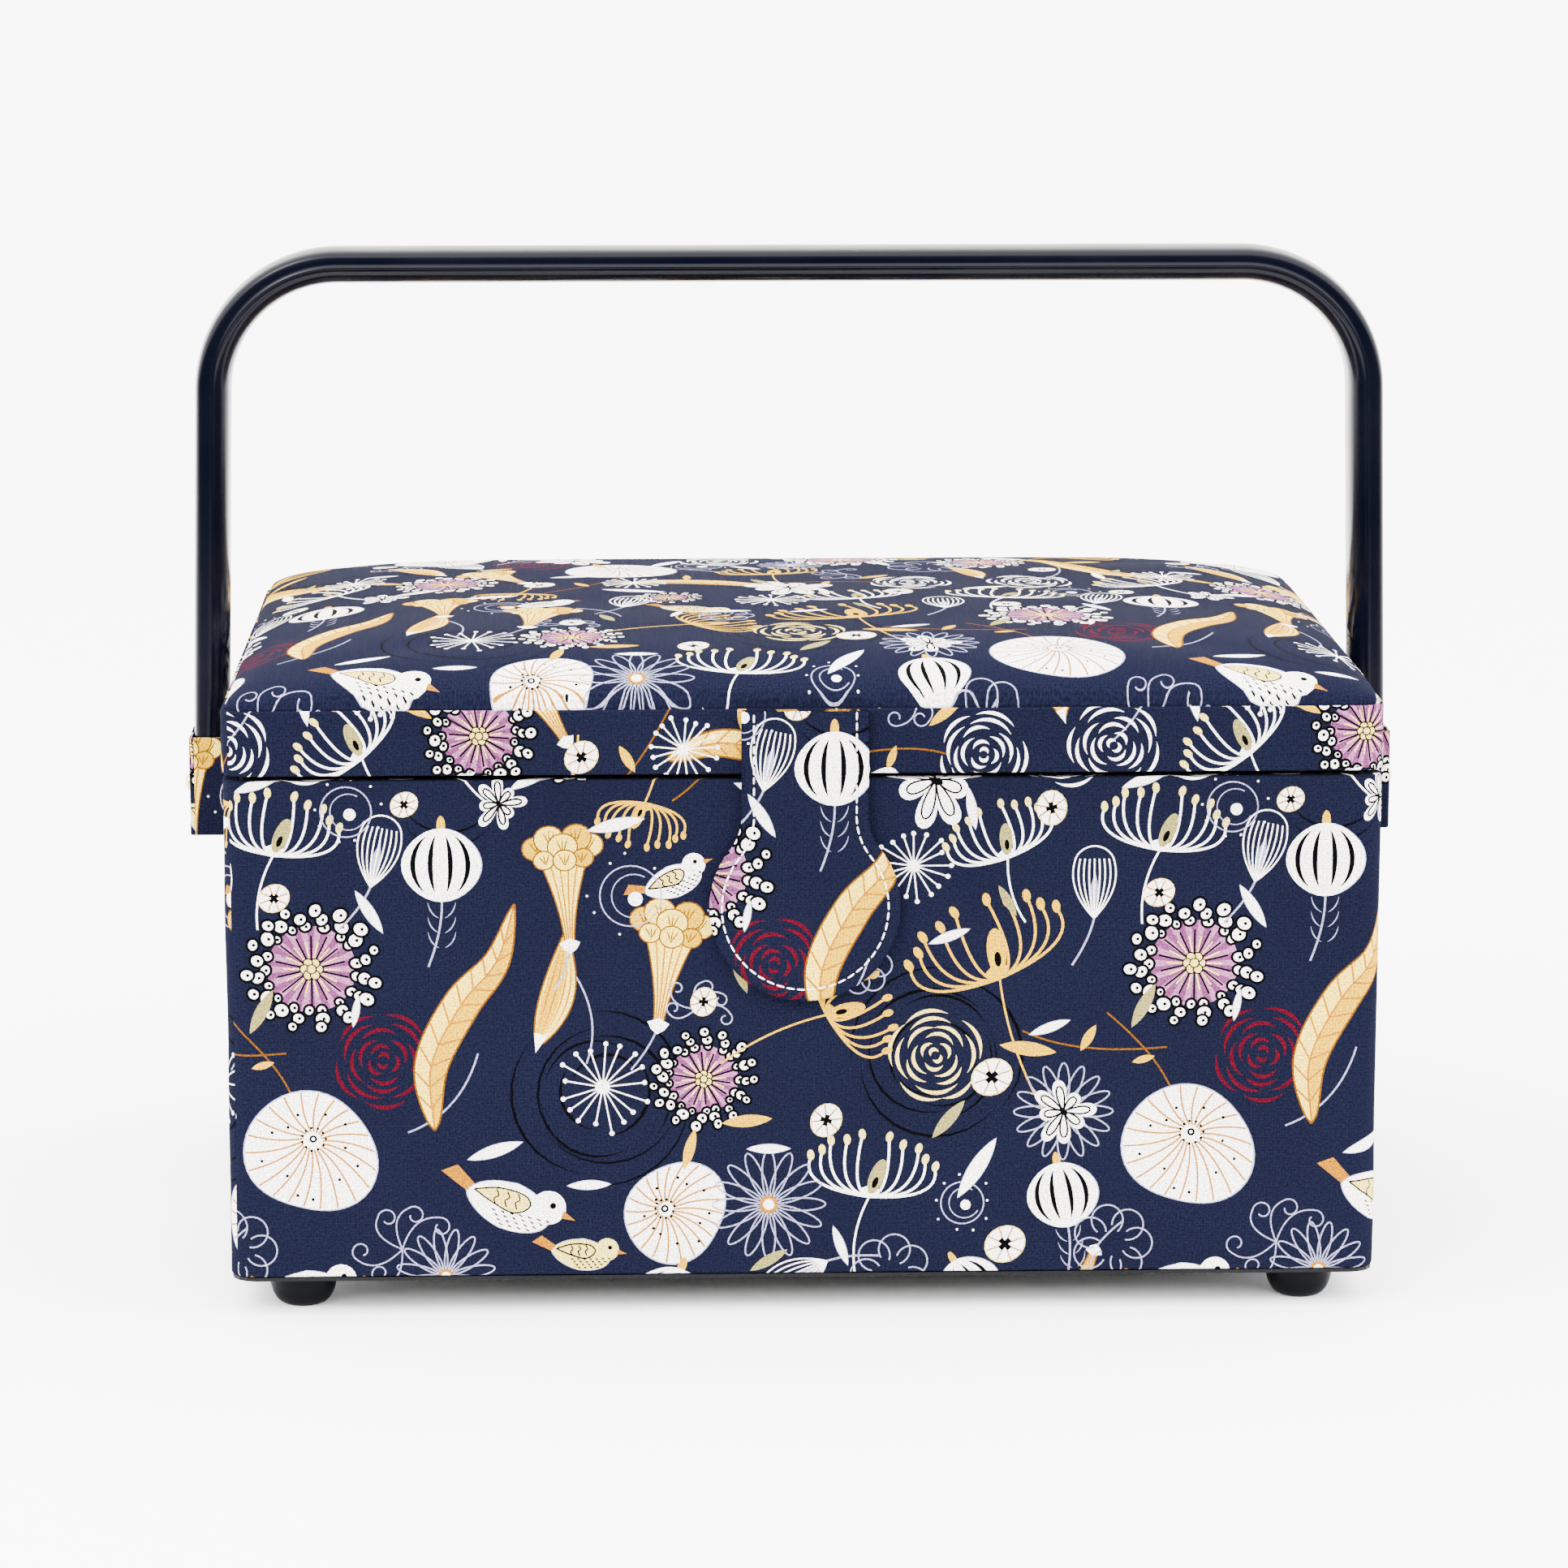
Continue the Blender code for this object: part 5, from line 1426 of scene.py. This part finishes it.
def make_hinge():
    """The cloth strip over the back joint: it lies on the body, bridges the gap and climbs the lid."""
    low, _ = span("hinge_cloth_lower")
    _, high = span("hinge_cloth_upper")
    back = BAND_HALF[1] + MID_Y
    z = np.concatenate([np.linspace(low[2], BRIDGE[0] - 0.0005, 8), np.linspace(*BRIDGE, 15),
                        np.linspace(BRIDGE[1] + 0.001, high[2], 8)])
    seam_z = 0.15245
    body_y = BODY_HALF[1] + MID_Y + 0.0002
    swell = HINGE_T * np.exp(-(((z - seam_z) / 0.0014) ** 2))
    outer = np.interp(z, BRIDGE, (body_y, back + 0.0002)) + HINGE_OFF + swell
    inner = outer - HINGE_T
    loop_y = np.concatenate([outer, inner[::-1]])
    loop_z = np.concatenate([z, z[::-1]])
    x = np.linspace(low[0], high[0], 57)
    grid = np.stack([np.repeat(x[:, None], len(loop_y), 1), np.repeat(loop_y[None], len(x), 0),
                     np.repeat(loop_z[None], len(x), 0)], -1)
    mesh = surface("hinge_cloth", grid, closed_v=True, caps=True)
    flip_if_inward(mesh, np.array([0, outer.mean() - 0.0003, 0.1525]))
    strip = bpy.data.objects.new("hinge_cloth", mesh)
    bpy.context.scene.collection.objects.link(strip)
    mesh.materials.append(PLAIN_NAVY)
    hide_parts("hinge_cloth_lower", "hinge_cloth_upper")
    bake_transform(strip)


make_hinge()


CUSHION_MARGIN = (0.002, 0.002, 0.0012)   # room left for the cushion to swell into its CAD block
CUSHION_SWELL = 0.0016


def swell_cushion():
    """The pin cushion: a softened block blown up tight by a cloth simulation, then smoothed once."""
    low, high = span("pin_cushion")
    a, b = low + CUSHION_MARGIN, high - CUSHION_MARGIN
    mesh = bpy.data.meshes.new("pin_cushion_cloth")
    block = bpy.data.objects.new("pin_cushion_cloth", mesh)
    bpy.context.scene.collection.objects.link(block)
    cols, rows = 41, 37
    u = np.linspace(-1, 1, cols)
    v = np.linspace(-1, 1, rows)
    gu, gv = np.meshgrid(u, v)
    half = (b - a) / 2
    centre = (a + b) / 2
    fat = ((1 - np.abs(gu) ** 5) * (1 - np.abs(gv) ** 5)) ** 0.4
    pinch = 1 - 0.05 * (1 - gv**2) * np.abs(gu) ** 3
    x = centre[0] + half[0] * gu * (1 - 0.04 * (1 - gv**2))
    y = centre[1] + half[1] * gv * (1 - 0.05 * (1 - gu**2))
    lower = np.stack([x, y, centre[2] - half[2] * fat * pinch], -1)
    upper = np.stack([x, y, centre[2] + half[2] * np.minimum(1, fat * 1.3)], -1)
    index = np.arange(rows * cols).reshape(rows, cols)
    rim = np.zeros((rows, cols), bool)
    rim[[0, -1], :] = rim[:, [0, -1]] = True
    top_index = np.where(rim, index, index + rows * cols)
    quads = []
    for grid, way in ((index, -1), (top_index, 1)):
        q = np.stack([grid[:-1, :-1], grid[:-1, 1:], grid[1:, 1:], grid[1:, :-1]], -1).reshape(-1, 4)
        quads.append(q[:, ::way])
    verts = np.concatenate([lower.reshape(-1, 3), upper.reshape(-1, 3)])
    faces = np.concatenate(quads)
    used, faces = np.unique(faces, return_inverse=True)
    mesh.from_pydata(verts[used], [], faces.reshape(-1, 4))
    mesh.shade_smooth()
    start = verts[used]
    cloth = block.modifiers.new("cloth", "CLOTH")
    set_up_cloth(cloth.settings, "", 4.0)
    end = run_cloth(block)
    block.modifiers.clear()
    moved = end - start
    far = np.linalg.norm(moved, axis=1)
    end = start + moved * np.minimum(1, CUSHION_SWELL / np.maximum(far, 1e-9))[:, None]
    end[:, 2] = np.clip(end[:, 2], low[2], high[2])
    mesh.vertices.foreach_set("co", end.astype(np.float32).ravel())
    smooth = block.modifiers.new("smooth", "SUBSURF")
    smooth.levels = smooth.render_levels = 1
    mesh.materials.append(CUSHION_CLOTH)
    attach(block, "lid")
    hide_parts("pin_cushion")


swell_cushion()


# ---- finishes of the CAD pieces that stay --------------------------------------------------
FINISHES = {
    "base_sheet": VINYL, "base_board": BOARD, "wall_": BOARD, "lid_frame": BOARD, "lid_board": BOARD,
    "lid_foam": FOAM, "lid_lining": LINING, "lining_": LINING, "lid_pocket": LINING,
    "pocket_elastic": ELASTIC,
    "tray_ledge": LINING, "tray_left": TRAY_PLASTIC, "tray_right": TRAY_PLASTIC, "foot_screw": STEEL,
    "rivet_washer": BRASS, "rivet_spacer": FOOT_PLASTIC, "rivet_": BRASS, "flap_card": BOARD,
    "flap_magnet": NICKEL, "body_magnet": NICKEL,
}


def finish_frame():
    """Give each CAD piece that still shows its worked-up finish."""
    for name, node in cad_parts.items():
        if node.hide_render:
            continue
        match = next((f for key, f in FINISHES.items() if name.startswith(key)), None)
        if match is None:
            raise SystemExit(f"no finish for {name}")
        node.data.materials.clear()
        node.data.materials.append(match)


finish_frame()


# ---- floor, light and camera -----------------------------------------------------------------
FLOOR_FRONT = -0.62   # the floor ends here, so that the handle's front face reflects the dark room


def make_stage():
    """A pale seamless sweep: a floor that ends in front of the box and curves up far behind."""
    rise = np.radians(np.linspace(6, 90, 15))
    depth = np.concatenate([[FLOOR_FRONT], np.linspace(-0.3, 2.2, 8), 2.2 + 1.2 * np.sin(rise), [3.4]])
    height = np.concatenate([np.zeros(9), 1.2 * (1 - np.cos(rise)), [5.0]])
    x = np.linspace(-7, 7, 15)
    grid = np.stack([np.repeat(x[None], len(depth), 0), np.repeat(depth[:, None], len(x), 1),
                     np.repeat(height[:, None], len(x), 1)], -1)
    mesh = surface("sweep", grid)
    sweep = bpy.data.objects.new("sweep", mesh)
    bpy.context.scene.collection.objects.link(sweep)
    s = Shader("sweep_paint")
    mottle = s.noise(s.place(), 3.0)
    s.set(Base_Color=s.mix(mottle, colour((0.93, 0.93, 0.925)), colour((0.945, 0.945, 0.94))), Roughness=0.95,
          Specular_IOR_Level=0.05)
    mesh.materials.append(s.material)


def add_lamp(name, place, target, size, watts, tint=(1, 1, 1)):
    """A soft box that looks at a point."""
    lamp = bpy.data.lights.new(name, "AREA")
    lamp.shape = "RECTANGLE"
    lamp.size, lamp.size_y = size
    lamp.energy = watts
    lamp.color = tint
    holder = bpy.data.objects.new(name, lamp)
    holder.location = place
    holder.rotation_euler = (Vector(target) - Vector(place)).to_track_quat("-Z", "Y").to_euler()
    bpy.context.scene.collection.objects.link(holder)


SKY = 11.5
ROOM = 0.14


def make_light():
    """A white tent overhead and behind, dark towards the low front, and one soft key."""
    world = bpy.data.worlds.new("studio")
    bpy.context.scene.world = world
    world.use_nodes = True
    tree = world.node_tree
    backdrop = tree.nodes["Background"]
    backdrop.inputs[0].default_value = (1.0, 1.0, 1.0, 1)
    way = tree.nodes.new("ShaderNodeTexCoord").outputs["Generated"]
    split = tree.nodes.new("ShaderNodeSeparateXYZ")
    tree.links.new(way, split.inputs[0])
    lean = tree.nodes.new("ShaderNodeMath")
    lean.operation = "MULTIPLY_ADD"
    lean.inputs[1].default_value = 0.45
    tree.links.new(split.outputs["Y"], lean.inputs[0])
    tree.links.new(split.outputs["Z"], lean.inputs[2])
    fade = tree.nodes.new("ShaderNodeMapRange")
    fade.interpolation_type = "SMOOTHSTEP"
    for key, value in ((1, -0.22), (2, 0.06), (3, ROOM), (4, SKY)):
        fade.inputs[key].default_value = value
    tree.links.new(lean.outputs[0], fade.inputs[0])
    tree.links.new(fade.outputs[0], backdrop.inputs[1])
    add_lamp("key_softbox", (-1.1, -1.8, 1.9), (0, 0, 0.1), (0.7, 0.7), 70)


def make_camera():
    """A long lens, a little left of the middle and above the lid."""
    camera = bpy.data.cameras.new("camera")
    camera.sensor_width = 36
    camera.lens = 126.25
    camera.clip_start, camera.clip_end = 0.05, 60
    holder = bpy.data.objects.new("camera", camera)
    holder.location = (-0.0548, -1.5971, 0.4279)
    pitch, yaw = math.radians(10.6), math.radians(1.894)
    holder.rotation_euler = (math.pi / 2 - pitch, 0, -yaw)
    bpy.context.scene.collection.objects.link(holder)
    bpy.context.scene.camera = holder


make_stage()
make_light()
make_camera()
